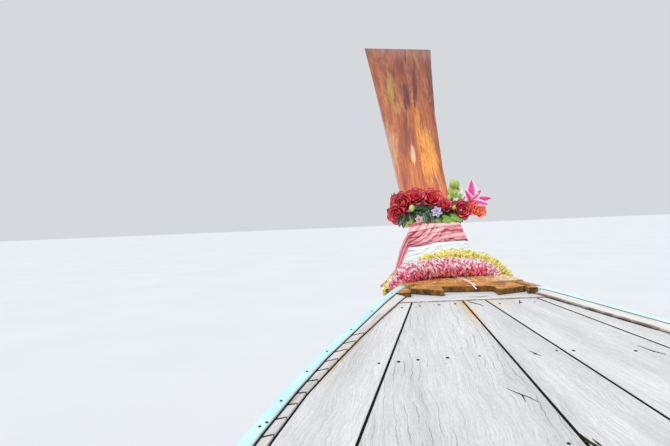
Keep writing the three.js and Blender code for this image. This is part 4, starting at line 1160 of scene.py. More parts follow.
TIE_ENDS = [
    [(3.566, 0.008, 1.038), (3.540, 0.001, 1.034), (3.512, -0.012, 1.030), (3.486, -0.032, 1.017)],
    [(3.566, -0.006, 1.037), (3.536, -0.013, 1.032), (3.505, -0.023, 1.022), (3.482, -0.034, 1.004)],
]
pink_foil = material_of("pink_ribbon_foil", ribbon_foil, pale="#fff3f8", mid="#ff7fa0", deep="#ff1f4c")
yellow_foil = material_of("yellow_ribbon_foil", ribbon_foil, pale="#fffdc0", mid="#fff454", deep="#ffca20")
tufted_garland(
    "pink_ribbon_garland", PINK_PATH, 0.044, 1700, curled_strip(0.024, 0.0072, 2.2), 0.35, 21,
    pink_foil, "garland_pink", TIE_ENDS,
)
tufted_garland(
    "yellow_ribbon_garland", YELLOW_PATH, 0.037, 2100, curled_strip(0.024, 0.0052, 2.0), 0.3, 22,
    yellow_foil, "garland_yellow",
)


# Wreath: wired cloth roses, leaves, buds, daisies and a lily, stamped from stiffened
# polyester, dyed, and bound with tape to a ring round the post above the sashes.
PETAL_SIZE, PETAL_THICKNESS = 0.05, 0.0005
RING_HEIGHT, RING_RADIUS = 1.316, 0.006
# Layers of a rose: petals, distance from the middle, tilt in degrees, size
ROSE_LAYERS = [
    (2, 0.02, -6, 0.55), (3, 0.10, 4, 0.62), (4, 0.20, 16, 0.74), (5, 0.30, 32, 0.86), (6, 0.40, 52, 0.95),
]
# Roses: centre, way it looks, size
ROSES = [
    ((4.110, 0.126, 1.333), (-0.80, 0.40, 0.10), 0.048),
    ((4.105, 0.151, 1.280), (-0.80, 0.45, -0.25), 0.042),
    ((4.125, 0.094, 1.358), (-0.60, 0.40, 0.70), 0.034),
    ((4.120, 0.052, 1.362), (-0.80, 0.10, 0.50), 0.042),
    ((4.120, -0.026, 1.352), (-0.90, -0.10, 0.35), 0.044),
    ((4.100, -0.079, 1.316), (-0.80, -0.10, 0.60), 0.035),
    ((4.090, -0.157, 1.289), (-1.00, 0.05, 0.00), 0.042),
]
# Roses out of sight round the post: turn and height
FAR_ROSES = [(1.65, 1.315), (2.15, 1.345), (2.75, 1.310), (-2.95, 1.340), (-2.35, 1.310), (-1.80, 1.345)]


def rose_petal(size):
    """A cupped petal with its upper edge rolled back, standing on its foot at the origin."""
    reach = []

    def form(u, v):
        side = (u - 0.5) * 2
        width = size * 0.62 * math.sin(math.pi * (0.18 + 0.62 * v)) ** 0.8
        height = size * (v - 0.10 * side * side * v)
        cup = size * (0.30 * side * side - 0.12 * math.sin(math.pi * v))
        rolled = size * 0.16 * max(0.0, v - 0.72) / 0.28 * (1 - 0.4 * side * side)
        reach.append(v)
        return Vector((-(cup - rolled), side * width, height))

    petal = shaped_grid(6, 6, form)
    note(petal, "reach", reach)
    return petal


def petal_cloth(wire, place, edge, bright, body, heart):
    """Dyed polyester petals, nearly matt: the dye's colour, with painted shade at the heart and a painted
    highlight on the rolled rim.
    """
    tip = wire("Attribute", out="Fac", attribute_name="reach")
    shade = wire("Attribute", out="Fac", attribute_name="shade")
    veins = wire("TexNoise", place, Scale=160.0, Detail=3.0)
    some = wire("Math", (veins, 0.25), operation="MULTIPLY")
    both = wire("Math", (tip, some), operation="ADD")
    tone = wire("ValToRGB", both, stops=[(0.12, heart), (1.16, edge), (0.58, body), (1.02, bright)])
    lighter = wire("MapRange", (shade, 0.0, 1.0, 0.75, 1.25))
    shifted = wire("HueSaturation", Color=tone, Value=lighter)
    bump = wire("Bump", Height=veins, Strength=0.15, Distance=0.0006)
    return wire(
        "BsdfPrincipled",
        {"Base Color": shifted, "Roughness": 0.45, "Normal": bump, "Specular IOR Level": 0.2},
    )


def open_rose(size, seed):
    """Matrices that set petals round a bud: tight and upright inside, laid open outside."""
    draws = random.Random(seed)
    placed = []
    for layer, (count, spread, tilt, scale) in enumerate(ROSE_LAYERS):
        for k in range(count):
            turn = 2 * math.pi * k / count + layer * 0.9 + draws.uniform(-0.15, 0.15)
            placed.append(
                Matrix.Rotation(turn, 4, "Z")
                @ Matrix.Translation((size * spread, 0.0, size * (0.12 - 0.03 * layer)))
                @ Matrix.Rotation(math.radians(tilt + draws.uniform(-5, 5)), 4, "Y")
                @ Matrix.Scale(scale * draws.uniform(0.93, 1.07), 4)
            )
    return placed


def facing(centre, out, roll=0.0):
    """Places a shape that stands along Z at centre, looking out."""
    z = Vector(out).normalized()
    spin = z.to_track_quat("Z", "Y").to_matrix().to_4x4()
    return Matrix.Translation(centre) @ spin @ Matrix.Rotation(roll, 4, "Z")


def bound_on(petals, name, material):
    """Thickens thin cloth and makes it a piece of the wreath."""
    add_modifier(petals, "SOLIDIFY", thickness=PETAL_THICKNESS, offset=0.0)
    settle(petals, name, material, smooth=60.0, stands_for="flower_wreath")


def roses_at(name, spots, material, lighter=0.0):
    """Cloth roses, each (centre, way it looks, size), as one piece."""
    places, shades = [], []
    for i, (centre, out, size) in enumerate(spots):
        seat = facing(Vector(centre) - Vector(out).normalized() * size * 0.45, out, i * 1.1)
        for petal in open_rose(PETAL_SIZE, i):
            places.append(seat @ Matrix.Scale(size / PETAL_SIZE, 4) @ petal)
            shades.append(0.3 + 0.1 * (i * 7 % 5) + lighter)
    bound_on(copies(rose_petal(PETAL_SIZE), places, shades), name, material)


def way_out(turn):
    return Vector((-math.cos(turn), math.sin(turn), 0.0))


def beside_post(turn, height, lift):
    """The place lift above the post's skin at one height: turn 0 is aft, a quarter turn port."""
    heart = Vector((4.222 + (height - 1.3) * 0.73, 0.0, height))
    hit = post_tree.ray_cast(heart + way_out(turn) * POST_REACH, -way_out(turn))[0]
    return (hit or heart) + way_out(turn) * lift


far_spots = [
    (beside_post(turn, height, 0.040), way_out(turn) + Vector((0.0, 0.0, 0.3)), 0.040)
    for turn, height in FAR_ROSES
]
# The red roses' near-black heart is painted shade and their pale pink rim a painted highlight.
red_cloth = material_of(
    "red_rose_cloth", petal_cloth, edge="#ffb0bd", bright="#fb2240", body="#dd0f2d", heart="#5a0310"
)
roses_at("red_cloth_roses", ROSES + far_spots, red_cloth)
# The coral rose's pale rim is a painted highlight and its yellow heart its own colour; its shade value is
# raised by 0.7, painted light where the lily shades it.
coral_cloth = material_of(
    "coral_rose_cloth", petal_cloth, edge="#ffe2cf", bright="#ff8350", body="#fa5b30", heart="#fbd23e",
)
roses_at("coral_cloth_rose", [((4.092, -0.230, 1.288), (-0.90, -0.30, 0.20), 0.037)], coral_cloth, 0.7)


def blade_of(ratio, fold, droop):
    """A pointed leaf or petal one unit long, folded along its midrib, its tip leaning over."""
    reach, rim = [], []

    def form(u, v):
        side = (u - 0.5) * 2
        half = ratio / 2 * math.sin(math.pi * min(v, 0.999) ** 0.75) ** 0.8 if v > 0 else ratio * 0.06
        reach.append(v)
        rim.append(abs(side))
        wave = 0.06 * math.sin(9 * v) * side * ratio
        lean = droop * v * v - abs(side) * half * fold + wave
        return Vector((lean, -side * half, v * (1 - 0.15 * droop * v)))

    blade = shaped_grid(4, 9, form)
    note(blade, "reach", reach)
    note(blade, "rim", rim)
    return blade


def growing(foot, tip, face=(-1.0, 0.0, 0.2)):
    """Stands a shape of unit length on its foot, pointing to its tip, its front towards face."""
    z = Vector(tip) - Vector(foot)
    size = z.length
    z.normalize()
    x = -Vector(face)
    x = (x - z * x.dot(z)).normalized()
    spin = Matrix((x, z.cross(x), z)).transposed().to_4x4()
    return Matrix.Translation(foot) @ spin @ Matrix.Scale(size, 4)


def leaf_cloth(wire, place):
    """Stiffened green cloth, dark to yellow-green by the leaf, with a pale midrib and a slight sheen."""
    shade = wire("Attribute", out="Fac", attribute_name="shade")
    rim = wire("Attribute", out="Fac", attribute_name="rim")
    greens = [(0.0, "#0a2015"), (1.0, "#dde27c"), (0.35, "#205536"), (0.7, "#86b535")]
    tone = wire("ValToRGB", shade, stops=greens)
    rib = wire("ValToRGB", rim, stops=[(0.06, 0.55), (0.2, 0.0)])
    tone = wire("MixRGB", (rib, tone, "#b9d7a0"))
    veins = wire("TexNoise", place, Scale=240.0, Detail=3.0)
    bump = wire("Bump", Height=veins, Strength=0.2, Distance=0.0005)
    return wire(
        "BsdfPrincipled", {"Base Color": tone, "Roughness": 0.45, "Normal": bump, "Sheen Weight": 0.2},
    )


# Leaves: foot, tip, shade
LEAVES = [
    ((4.09, -0.046, 1.254), (4.044, -0.122, 1.232), 0.66),
    ((4.088, -0.034, 1.25), (4.044, -0.014, 1.216), 0.58),
    ((4.09, -0.1, 1.256), (4.044, -0.062, 1.222), 0.74),
    ((4.092, -0.088, 1.262), (4.05, -0.146, 1.24), 0.62),
    ((4.088, 0.06, 1.244), (4.044, 0.118, 1.224), 0.76),
    ((4.088, 0.072, 1.244), (4.042, 0.078, 1.202), 0.84),
    ((4.088, 0.036, 1.248), (4.046, 0.026, 1.216), 0.4),
    ((4.088, -0.02, 1.252), (4.046, -0.052, 1.226), 0.5), ((4.115, 0.0, 1.3), (4.088, 0.072, 1.318), 0.2),
    ((4.115, 0.01, 1.295), (4.088, 0.066, 1.286), 0.3), ((4.11, 0.01, 1.29), (4.082, 0.05, 1.258), 0.15),
    ((4.11, 0.0, 1.3), (4.086, -0.005, 1.252), 0.1), ((4.115, 0.0, 1.31), (4.092, -0.05, 1.304), 0.25),
    ((4.11, 0.06, 1.3), (4.085, 0.096, 1.286), 0.35), ((4.11, 0.03, 1.3), (4.1, 0.026, 1.346), 0.2),
    ((4.105, -0.06, 1.28), (4.085, -0.115, 1.304), 0.15),
    ((4.105, -0.06, 1.275), (4.085, -0.112, 1.262), 0.1), ((4.11, 0.02, 1.31), (4.09, 0.1, 1.322), 0.4),
    ((4.13, -0.125, 1.35), (4.14, -0.128, 1.437), 0.9), ((4.13, -0.13, 1.35), (4.14, -0.152, 1.428), 0.8),
    ((4.13, -0.12, 1.35), (4.138, -0.11, 1.402), 0.95), ((4.12, -0.13, 1.345), (4.13, -0.172, 1.392), 0.7),
    ((4.125, -0.15, 1.33), (4.14, -0.192, 1.37), 0.75), ((4.115, 0.11, 1.3), (4.09, 0.098, 1.262), 0.3),
    ((4.12, 0.13, 1.3), (4.11, 0.196, 1.31), 0.25), ((4.11, -0.19, 1.3), (4.1, -0.24, 1.262), 0.3),
]
# Low leaves, by turns in two rows: side of the foot and of the tip, shade
LOW_LEAVES = [
    (0.108, 0.124, 0.20), (0.092, 0.088, 0.10), (0.076, 0.086, 0.25), (0.060, 0.052, 0.15),
    (0.044, 0.050, 0.10), (0.028, 0.022, 0.30), (0.012, 0.020, 0.10), (-0.004, -0.010, 0.20),
    (-0.020, -0.016, 0.15), (-0.036, -0.046, 0.25), (-0.052, -0.046, 0.10), (-0.068, -0.076, 0.20),
    (-0.084, -0.086, 0.15), (-0.100, -0.112, 0.10), (-0.116, -0.136, 0.25), (0.118, 0.142, 0.15),
]
for k, (y, tip_y, shade) in enumerate(LOW_LEAVES):
    LEAVES.append(((4.124, y, (1.292, 1.304)[k % 2]), (4.050, tip_y, (1.228, 1.234)[k % 2]), shade))
FAR_LEAVES = 44
draws = random.Random(31)
leaf_places = [growing(foot, tip, (-1.0, 0.0, 0.4)) for foot, tip, _ in LEAVES]
leaf_shades = [shade for _, _, shade in LEAVES]
for k in range(FAR_LEAVES):
    turn = 1.15 + (2 * math.pi - 2.3) * (k + draws.uniform(-0.3, 0.3)) / (FAR_LEAVES - 1)
    foot = beside_post(turn, RING_HEIGHT + draws.uniform(-0.03, 0.03), 0.016)
    lean = Vector((0.0, 0.0, draws.choice((-1, 1)) * draws.uniform(0.3, 1.0)))
    way = lean + way_out(turn) * draws.uniform(0.5, 1.1) + way_out(turn + 1.57) * draws.uniform(-0.8, 0.8)
    leaf_places.append(growing(foot, foot + way.normalized() * draws.uniform(0.055, 0.085), way_out(turn)))
    leaf_shades.append(draws.choice((0.15, 0.25, 0.35, 0.8)))
leaves = copies(blade_of(0.42, 0.35, 0.25), leaf_places, leaf_shades)


def bound_wire(u, v):
    """The ring that all is bound to, level round the post."""
    around = 2 * math.pi * u
    out, up = RING_RADIUS * math.cos(around), RING_RADIUS * math.sin(around)
    return beside_post(2 * math.pi * v, RING_HEIGHT, 2 * RING_RADIUS + out) + Vector((0.0, 0.0, up))


def bud(u, v):
    """A furrowed bud, one unit long."""
    around = 2 * math.pi * u
    swell = 0.0
    if 0 < v < 1:
        swell = 0.34 * math.sin(math.pi * v**0.85) ** 0.8 * (1 + 0.10 * math.cos(5 * around + 2 * v))
    return Vector((swell * math.cos(around), swell * math.sin(around), v))


taped_ring = shaped_grid(8, 90, bound_wire)
note(taped_ring, "rim", 1.0)
note(taped_ring, "shade", 0.3)
# Buds: foot, tip, shade
BUDS = [
    ((4.085, 0.083, 1.29), (4.066, 0.08, 1.322), 1.0), ((4.13, -0.13, 1.395), (4.138, -0.126, 1.44), 0.85),
    ((4.13, -0.14, 1.392), (4.138, -0.15, 1.432), 0.8), ((4.12, 0.118, 1.32), (4.1, 0.112, 1.345), 0.9),
    ((4.09, -0.095, 1.335), (4.085, -0.097, 1.362), 0.88),
    ((4.09, -0.112, 1.29), (4.08, -0.122, 1.312), 0.85),
]
bud_shape = shaped_grid(12, 10, bud)
note(bud_shape, "rim", 1.0)
buds = copies(bud_shape, [growing(foot, tip) for foot, tip, _ in BUDS], [shade for _, _, shade in BUDS])
add_modifier(leaves, "SOLIDIFY", thickness=PETAL_THICKNESS, offset=0.0)
greenery = joined([leaves, buds, taped_ring])
green_cloth = material_of("green_leaf_cloth", leaf_cloth)
settle(greenery, "cloth_leaves_and_buds", green_cloth, smooth=60.0, stands_for="flower_wreath")


def tinted_petal(wire, place, inner, outer, throat):
    """Thin dyed cloth with a soft sheen: a pale rim, a stronger middle and a dark throat."""
    reach = wire("Attribute", out="Fac", attribute_name="reach")
    rim = wire("Attribute", out="Fac", attribute_name="rim")
    veins = wire("TexNoise", place, Scale=200.0, Detail=2.0)
    edge = wire("Math", (veins, 0.3, rim), operation="MULTIPLY_ADD")
    tone = wire("ValToRGB", edge, stops=[(0.55, inner), (1.05, outer)])
    deep = wire("ValToRGB", reach, stops=[(0.05, 0.9), (0.35, 0.0)])
    tone = wire("MixRGB", (deep, tone, throat))
    return wire("BsdfPrincipled", {"Base Color": tone, "Roughness": 0.5, "Sheen Weight": 0.3})


def petals_at(name, rows, ratio, droop, inner, outer, throat):
    """Pointed petals, each (foot, tip), as one piece."""
    petals = copies(
        blade_of(ratio, 0.3, droop), [growing(foot, tip, (-1.0, 0.1, 0.3)) for foot, tip in rows],
    )
    tint = material_of(name + "_cloth", tinted_petal, inner=inner, outer=outer, throat=throat)
    bound_on(petals, name, tint)


LILY_HEART = (4.112, -0.203, 1.324)
LILY_TIPS = [
    (4.128, -0.219, 1.438), (4.118, -0.260, 1.384), (4.112, -0.306, 1.344), (4.062, -0.268, 1.312),
    (4.100, -0.178, 1.384), (4.140, -0.244, 1.412), (4.098, -0.240, 1.362),
]
petals_at(
    "pink_lily", [(LILY_HEART, tip) for tip in LILY_TIPS], 0.46, 0.16, "#f0389a", "#fff2f8", "#c01f68",
)
petals_at(
    "white_sprays",
    [
        ((4.125, -0.140, 1.345), (4.138, -0.138, 1.420)), ((4.120, -0.150, 1.340), (4.136, -0.172, 1.414)),
        ((4.120, -0.160, 1.335), (4.134, -0.190, 1.388)), ((4.118, -0.120, 1.330), (4.120, -0.154, 1.372)),
        ((4.115, 0.060, 1.300), (4.090, 0.098, 1.300)), ((4.120, -0.200, 1.340), (4.136, -0.214, 1.400)),
    ],
    0.24, 0.24, "#eef7ea", "#ffffff", "#9cc57a",
)
for name, centre, size, count, inner, outer, throat in (
    ("lavender_flower", (4.080, -0.034, 1.284), 0.028, 6, "#bda2dd", "#fbf8ff", "#8a6bb0"),
    ("blush_flower", (4.074, 0.050, 1.250), 0.022, 6, "#e79ab0", "#fff1e8", "#a9503f"),
):
    heart = Vector(centre)
    ring = [
        Vector((-0.25, math.cos(2 * math.pi * k / count + 0.3), math.sin(2 * math.pi * k / count + 0.3)))
        for k in range(count)
    ]
    petals_at(name, [(heart, heart + spoke * size) for spoke in ring], 0.62, 0.15, inner, outer, throat)


# Inside: thwarts nailed on the risers, loose floorboards over the frames and a short after
# deck, all unpainted hardwood rubbed smooth and pale where people sit and tread.
trodden = material_of(
    "trodden_hardwood", timber, pale="#b08a62", deep="#6d4c30", rough=0.62, worn="#cdb48f", seed=5.0
)
sat_on = material_of(
    "rubbed_thwart_wood", timber, pale="#a9794b", deep="#643f24", heading=90.0, rough=0.5, coat=0.15,
    worn="#c9a678",
)
for i in range(5):
    eased(f"bench_{i + 1}", f"rubbed_thwart_{i + 1}", 0.007, sat_on, segments=3)
# Boards: solid, piece, where the saw runs across the boat, width of the gap
for node, name, seams, gap in (
    ("floorboards", "loose_floorboards", (-0.225, -0.075, 0.075, 0.225), 0.006),
    ("after_deck", "after_deck_boards", [round(-0.63 + 0.14 * k, 3) for k in range(10)], 0.003),
):
    whole = joined(sawn(node, [((0.0, y, 0.0), (0.0, 1.0, 0.0)) for y in seams], gap, 0.0025))
    settle(whole, name, trodden, stands_for=node)


# Canopy: tapered posts on the gunwales carry two rails and sawn bows, all of varnished teak;
# tongued boards are bent over the bows, edged with a batten, and painted white.
ROOF_AFT, ROOF_FORE = -2.480, 1.150
EAVES = 0.990
ROOF_BOARDS, ROOF_GAP, ROOF_THICKNESS = 18, 0.0024, 0.014


def roof_height(y):
    return 1.900 + 0.150 * (1 - (y / EAVES) ** 2)


def painted_boards(wire, place):
    """White gloss brushed on long ago: cloudy, half dulled, and flaked in specks to grey-brown wood."""
    cloud = wire("TexNoise", place, Scale=2.5, Detail=6.0, Roughness=0.65)
    tone = wire("ValToRGB", cloud, stops=[(0.35, "#d5d6cf"), (0.62, "#eceee9")])
    brushed = wire("Mapping", place, Scale=(3.0, 240.0, 240.0))
    strokes = wire("TexNoise", brushed, Scale=1.0, Detail=2.0)
    long_place = wire("Mapping", place, Scale=(1.0, 5.0, 5.0))
    flakes = wire("TexNoise", long_place, Scale=13.0, Detail=7.0, Roughness=0.7)
    bare = wire("ValToRGB", flakes, stops=[(0.68, 0.0), (0.70, 0.9)])
    colour = wire("MixRGB", (bare, tone, "#8b7a68"))
    height = wire("Math", (strokes, bare), operation="SUBTRACT")
    bump = wire("Bump", Height=height, Strength=0.25, Distance=0.001)
    return wire("BsdfPrincipled", {"Base Color": colour, "Roughness": 0.48, "Normal": bump})


teak_up = material_of(
    "varnished_teak_post", timber, pale="#b9743c", deep="#74401f", lean=90.0, rough=0.4, coat=0.4,
)
teak_along = material_of("varnished_teak_rail", timber, pale="#b9743c", deep="#74401f", rough=0.4, coat=0.4)
for side in ("port", "starboard"):
    for i in (1, 2, 3):
        eased(
            f"canopy_post_{side}_{i}", f"teak_post_{side}_{i}", 0.005, teak_up,
            segments=3,
        )
eased("canopy_frame", "teak_rails_and_bows", 0.003, teak_along)

roof_parts = []
board = 2 * EAVES / ROOF_BOARDS
for i in range(ROOF_BOARDS):

    def bent(u, v):
        y = -EAVES + i * board + ROOF_GAP / 2 + (board - ROOF_GAP) * (1 - u)
        return Vector((ROOF_AFT + (ROOF_FORE - ROOF_AFT) * v, y, roof_height(y)))

    strip = shaped_grid(4, 20, bent)
    add_modifier(strip, "SOLIDIFY", thickness=ROOF_THICKNESS, offset=1.0)
    add_modifier(strip, "BEVEL", width=0.0015, segments=2, limit_method="ANGLE", angle_limit=0.9)
    roof_parts.append(strip)
white_boards = material_of("white_painted_boards", painted_boards)
settle(joined(roof_parts), "painted_roof_boards", white_boards, stands_for="canopy_roof")


def block(low, high, width, segments=2):
    """A sawn or cast block between two corners, its edges rounded."""
    middle = [(a + b) / 2 for a, b in zip(low, high)]
    half = [(b - a) / 2 for a, b in zip(low, high)]
    bpy.ops.mesh.primitive_cube_add(location=middle)
    bpy.ops.transform.resize(value=half)
    bpy.ops.object.transform_apply(location=True, scale=True)
    add_modifier(bpy.context.object, "BEVEL", width=width, segments=segments)
    return bpy.context.object


battens = []
for middle in (EAVES - 0.013, 0.013 - EAVES):
    low, high = (ROOF_AFT, middle - 0.011, 1.8735), (ROOF_FORE, middle + 0.011, 1.8985)
    battens.append(block(low, high, 0.004, 3))
settle(joined(battens), "eaves_battens", teak_along)


# Engine bed: a heavy beam across the stern, a flanged steel socket bolted to it, and the
# forked yoke that turns in the socket and carries the whole engine on two trunnions.
PIVOT_X, TRUNNION_Z, UNIT_TILT = -4.250, 1.000, math.radians(-8.0)
UNIT = Matrix.Translation((PIVOT_X, 0.0, TRUNNION_Z)) @ Matrix.Rotation(UNIT_TILT, 4, "Y")


def worn_metal(wire, place, pale, deep, rust, rough, metallic=1.0, bare="#8d8a84", grain=40.0):
    """Metal or what coats it: cloudy, scratched bare along X, dulled by blotches of rust.

    Less of it is rusted as rust rises from 0.5. Real scratches are drawn about 1 mm wide, to show.
    """
    cloud = wire("TexNoise", place, Scale=grain / 5.0, Detail=5.0, Roughness=0.6)
    tone = wire("ValToRGB", cloud, stops=[(0.35, deep), (0.62, pale)])
    blotch = wire("TexNoise", place, Scale=grain, Detail=7.0, Roughness=0.7)
    eaten = wire("ValToRGB", blotch, stops=[(rust, 0.0), (rust + 0.06, 1.0)])
    oxide = wire("ValToRGB", blotch, stops=[(rust, "#8a4a26"), (rust + 0.14, "#4b2615")])
    colour = wire("MixRGB", (eaten, tone, oxide))
    scratch_place = wire("Mapping", place, Scale=(60.0, 900.0, 900.0))
    scratches = wire("TexNoise", scratch_place, Scale=1.0, Detail=2.0)
    scraped = wire("ValToRGB", scratches, stops=[(0.68, 0.0), (0.74, 0.6)])
    colour = wire("MixRGB", (scraped, colour, bare))
    dull = wire("MapRange", (eaten, 0.0, 1.0, rough, 0.9))
    shine = wire("MapRange", (eaten, 0.0, 1.0, metallic, 0.0))
    height = wire("Math", (blotch, 0.6), operation="MULTIPLY")
    bump = wire("Bump", Height=height, Strength=0.2, Distance=0.001)
    return wire(
        "BsdfPrincipled", {"Base Color": colour, "Roughness": dull, "Metallic": shine, "Normal": bump},
    )


def turned(profile, sides=40):
    """A solid turned on a lathe about Z, from (height, radius) pairs, its ends closed flat."""
    (first, foot), (last, top) = profile[0], profile[-1]
    path = [(first, 0.0)] * (foot > 0) + profile + [(last, 0.0)] * (top > 0)
    lathe = bmesh.new()
    points = [lathe.verts.new((radius, 0.0, height)) for height, radius in path]
    line = [lathe.edges.new(pair) for pair in zip(points, points[1:])]
    bmesh.ops.spin(
        lathe, geom=points + line, cent=(0, 0, 0), axis=(0, 0, 1), angle=2 * math.pi, steps=sides
    )
    bmesh.ops.remove_doubles(lathe, verts=lathe.verts, dist=1e-5)
    bmesh.ops.recalc_face_normals(lathe, faces=lathe.faces)
    return piece_of(lathe, "turned")


def placed(piece, matrix):
    """Moves a piece to its place and keeps that place in its mesh."""
    piece.matrix_world = matrix @ piece.matrix_world
    select_only(piece)
    bpy.ops.object.transform_apply(location=True, rotation=True, scale=True)
    return piece


def hex_bolt(radius):
    """A bolt head on its washer, standing on the origin."""
    bpy.ops.mesh.primitive_cylinder_add(
        vertices=6, radius=radius, depth=radius * 1.1, location=(0, 0, radius * 0.75),
    )
    head = bpy.context.object
    add_modifier(head, "BEVEL", width=radius * 0.12, segments=1)
    washer = turned([(0.0, radius * 1.5), (radius * 0.22, radius * 1.5)], 16)
    return placed(joined([head, washer]), Matrix.Identity(4))


galvanised = material_of(
    "galvanised_steel", worn_metal, pale="#a3a6a6", deep="#7b8082", metallic=0.85, rough=0.42, rust=0.66
)
bolt_steel = material_of(
    "zinc_plated_bolts", worn_metal, pale="#b5b3aa", deep="#84827b", rough=0.38, rust=0.60,
)
bed_wood = material_of(
    "engine_bed_wood", timber, pale="#8f6a48", deep="#4f3421", heading=90.0, rough=0.6, worn="#a98a66",
)
eased("engine_beam", "engine_bed_beam", 0.006, bed_wood, segments=3)
eased("swivel_socket", "flanged_socket", 0.0016, galvanised)
eased("swivel_yoke", "forked_yoke", 0.0022, galvanised, body="swivel")
bed_bolts = [Matrix.Translation((PIVOT_X + a * 0.076, b * 0.076, 0.702)) for a in (1, -1) for b in (1, -1)]
settle(copies(hex_bolt(0.010), bed_bolts), "socket_bolts", bolt_steel)
trunnion_nuts = [facing((PIVOT_X, side * 0.1505, TRUNNION_Z), (0, side, 0)) for side in (1, -1)]
settle(copies(hex_bolt(0.016), trunnion_nuts), "trunnion_nuts", bolt_steel, body="swivel")


# Engine: a four-cylinder car diesel with everything open to the air, bolted by four feet to a
# welded cradle; blue-grey enamel on cast iron, flaked, oily and rusted by salt spray.
# Its shapes are made about the trunnions, along the engine's own axes.
X_AXIS = (1, 0, 0)


def engine_part(piece, name, material, smooth=35.0, stands_for=None):
    """Turns a piece from the engine's own axes to the boat's, and settles it."""
    settle(placed(piece, UNIT), name, material, "engine", smooth, stands_for)


def engine_copies(model, places, name, material):
    """Small like parts of the engine, as one piece."""
    alike = copies(model, [UNIT @ place for place in places])
    settle(alike, name, material, "engine", 35.0)


enamel = material_of(
    "flaked_engine_enamel", worn_metal, pale="#6f8791", deep="#4c626c", metallic=0.0, rough=0.42, rust=0.61,
    grain=34.0,
)
bare_casting = material_of(
    "bare_alloy_casting", worn_metal, pale="#a7a9a6", deep="#777a78", metallic=0.7, rough=0.5, rust=0.74
)
cradle_paint = material_of(
    "red_lead_painted_steel", worn_metal, pale="#87402f", deep="#5f2a20", metallic=0.0, rough=0.5, rust=0.60
)
black_rubber = material_of(
    "black_rubber", worn_metal, pale="#2a2a2a", deep="#161616", bare="#4b4b4b", metallic=0.0, rough=0.7,
    rust=0.95,
)
eased("engine_cradle", "welded_cradle", 0.003, cradle_paint, body="engine")

crankcase = [
    block((0.110, -0.120, -0.120), (0.600, 0.120, 0.120), 0.012, 3),
    block((0.180, -0.095, -0.200), (0.560, 0.095, -0.122), 0.014, 3),
    block((0.165, -0.108, -0.130), (0.575, 0.108, -0.116), 0.003),
]
for side in (1, -1):
    wall, skirt = side * 0.124, side * 0.122
    for x in (0.150, 0.245, 0.340, 0.435, 0.530):
        crankcase.append(block((x - 0.007, wall - 0.008, -0.095), (x + 0.007, wall + 0.008, 0.100), 0.004))
    for z in (-0.070, 0.082):
        crankcase.append(block((0.130, skirt - 0.006, z - 0.006), (0.580, skirt + 0.006, z + 0.006), 0.003))
for x in (0.155, 0.505):
    crankcase.append(block((x - 0.005, -0.205, 0.0253), (x + 0.055, 0.205, 0.060), 0.004))
bell_profile = [
    (-0.060, 0.070), (-0.020, 0.084), (0.060, 0.108), (0.100, 0.112), (0.100, 0.119), (0.116, 0.119),
]
bell = turned(bell_profile, 56)
crankcase.append(placed(bell, facing((0, 0, 0), X_AXIS)))
engine_part(joined(crankcase), "cast_crankcase", enamel, stands_for="engine_block")

core_plug = turned([(0.0, 0.024), (0.003, 0.024), (0.003, 0.020), (0.0008, 0.017)], 28)
plug_places = [
    facing((x, side * 0.1205, 0.012), (0, side, 0))
    for side in (1, -1)
    for x in (0.198, 0.292, 0.388, 0.482)
]
engine_copies(core_plug, plug_places, "core_plugs", bolt_steel)

bolt_turns = [math.radians(22.5 + 45 * k) for k in range(8)]
bell_rim = [facing((0.116, 0.1155 * math.cos(a), 0.1155 * math.sin(a)), (-1, 0, 0)) for a in bolt_turns]
casing_bolts = [place @ Matrix.Translation((0, 0, 0.016)) for place in bell_rim]
casing_bolts += [
    Matrix.Translation((x, side * 0.101, -0.130)) @ Matrix.Rotation(math.pi, 4, "X")
    for side in (1, -1)
    for x in [0.180 + 0.054 * k for k in range(8)]
]
casing_bolts += [Matrix.Translation((x, side * 0.185, 0.060)) for x in (0.1775, 0.5275) for side in (1, -1)]
engine_copies(hex_bolt(0.0062), casing_bolts, "casing_bolts", bolt_steel)

grooved = [(0.0, 0.030), (0.004, 0.070), (0.004, 0.085), (0.010, 0.085), (0.016, 0.074), (0.024, 0.074)]
grooved += [(0.030, 0.085), (0.055, 0.085), (0.055, 0.060), (0.040, 0.052), (0.040, 0.028), (0.052, 0.024)]
crank_pulley = placed(turned(grooved, 56), facing((0.600, 0.0, -0.020), X_AXIS))
pump_profile = [
    (0.0, 0.058), (0.014, 0.058), (0.018, 0.040), (0.020, 0.044), (0.024, 0.050), (0.030, 0.042),
]
pump_profile += [(0.036, 0.042), (0.042, 0.050), (0.045, 0.050), (0.045, 0.020), (0.052, 0.018)]
pump = placed(turned(pump_profile, 48), facing((0.594, 0.0, 0.090), X_AXIS))
engine_part(joined([crank_pulley, pump]), "grooved_pulleys", bolt_steel)

alternator_profile = [
    (0.0, 0.030), (0.004, 0.046), (0.010, 0.052), (0.028, 0.052), (0.028, 0.048), (0.040, 0.048),
]
alternator_profile += [
    (0.040, 0.052), (0.058, 0.052), (0.066, 0.044), (0.066, 0.016), (0.068, 0.036), (0.072, 0.036),
    (0.077, 0.030),
]
alternator_profile += [(0.082, 0.030), (0.087, 0.036), (0.091, 0.036), (0.091, 0.010), (0.096, 0.010)]
FINS = 14
alternator = [placed(turned(alternator_profile, 48), facing((0.560, 0.118, 0.060), X_AXIS))]
for k in range(FINS):
    fin = block((0.043, -0.0024, -0.0012), (0.054, 0.0024, 0.0012), 0.0005, 1)
    spoke = Matrix.Rotation(2 * math.pi * k / FINS, 4, "X") @ Matrix.Translation((0, 0, 0.052))
    alternator.append(placed(fin, Matrix.Translation((0.563, 0.118, 0.060)) @ spoke))
alternator.append(block((0.566, 0.105, 0.000), (0.590, 0.121, 0.020), 0.003))
engine_part(joined(alternator), "finned_alternator", bare_casting)

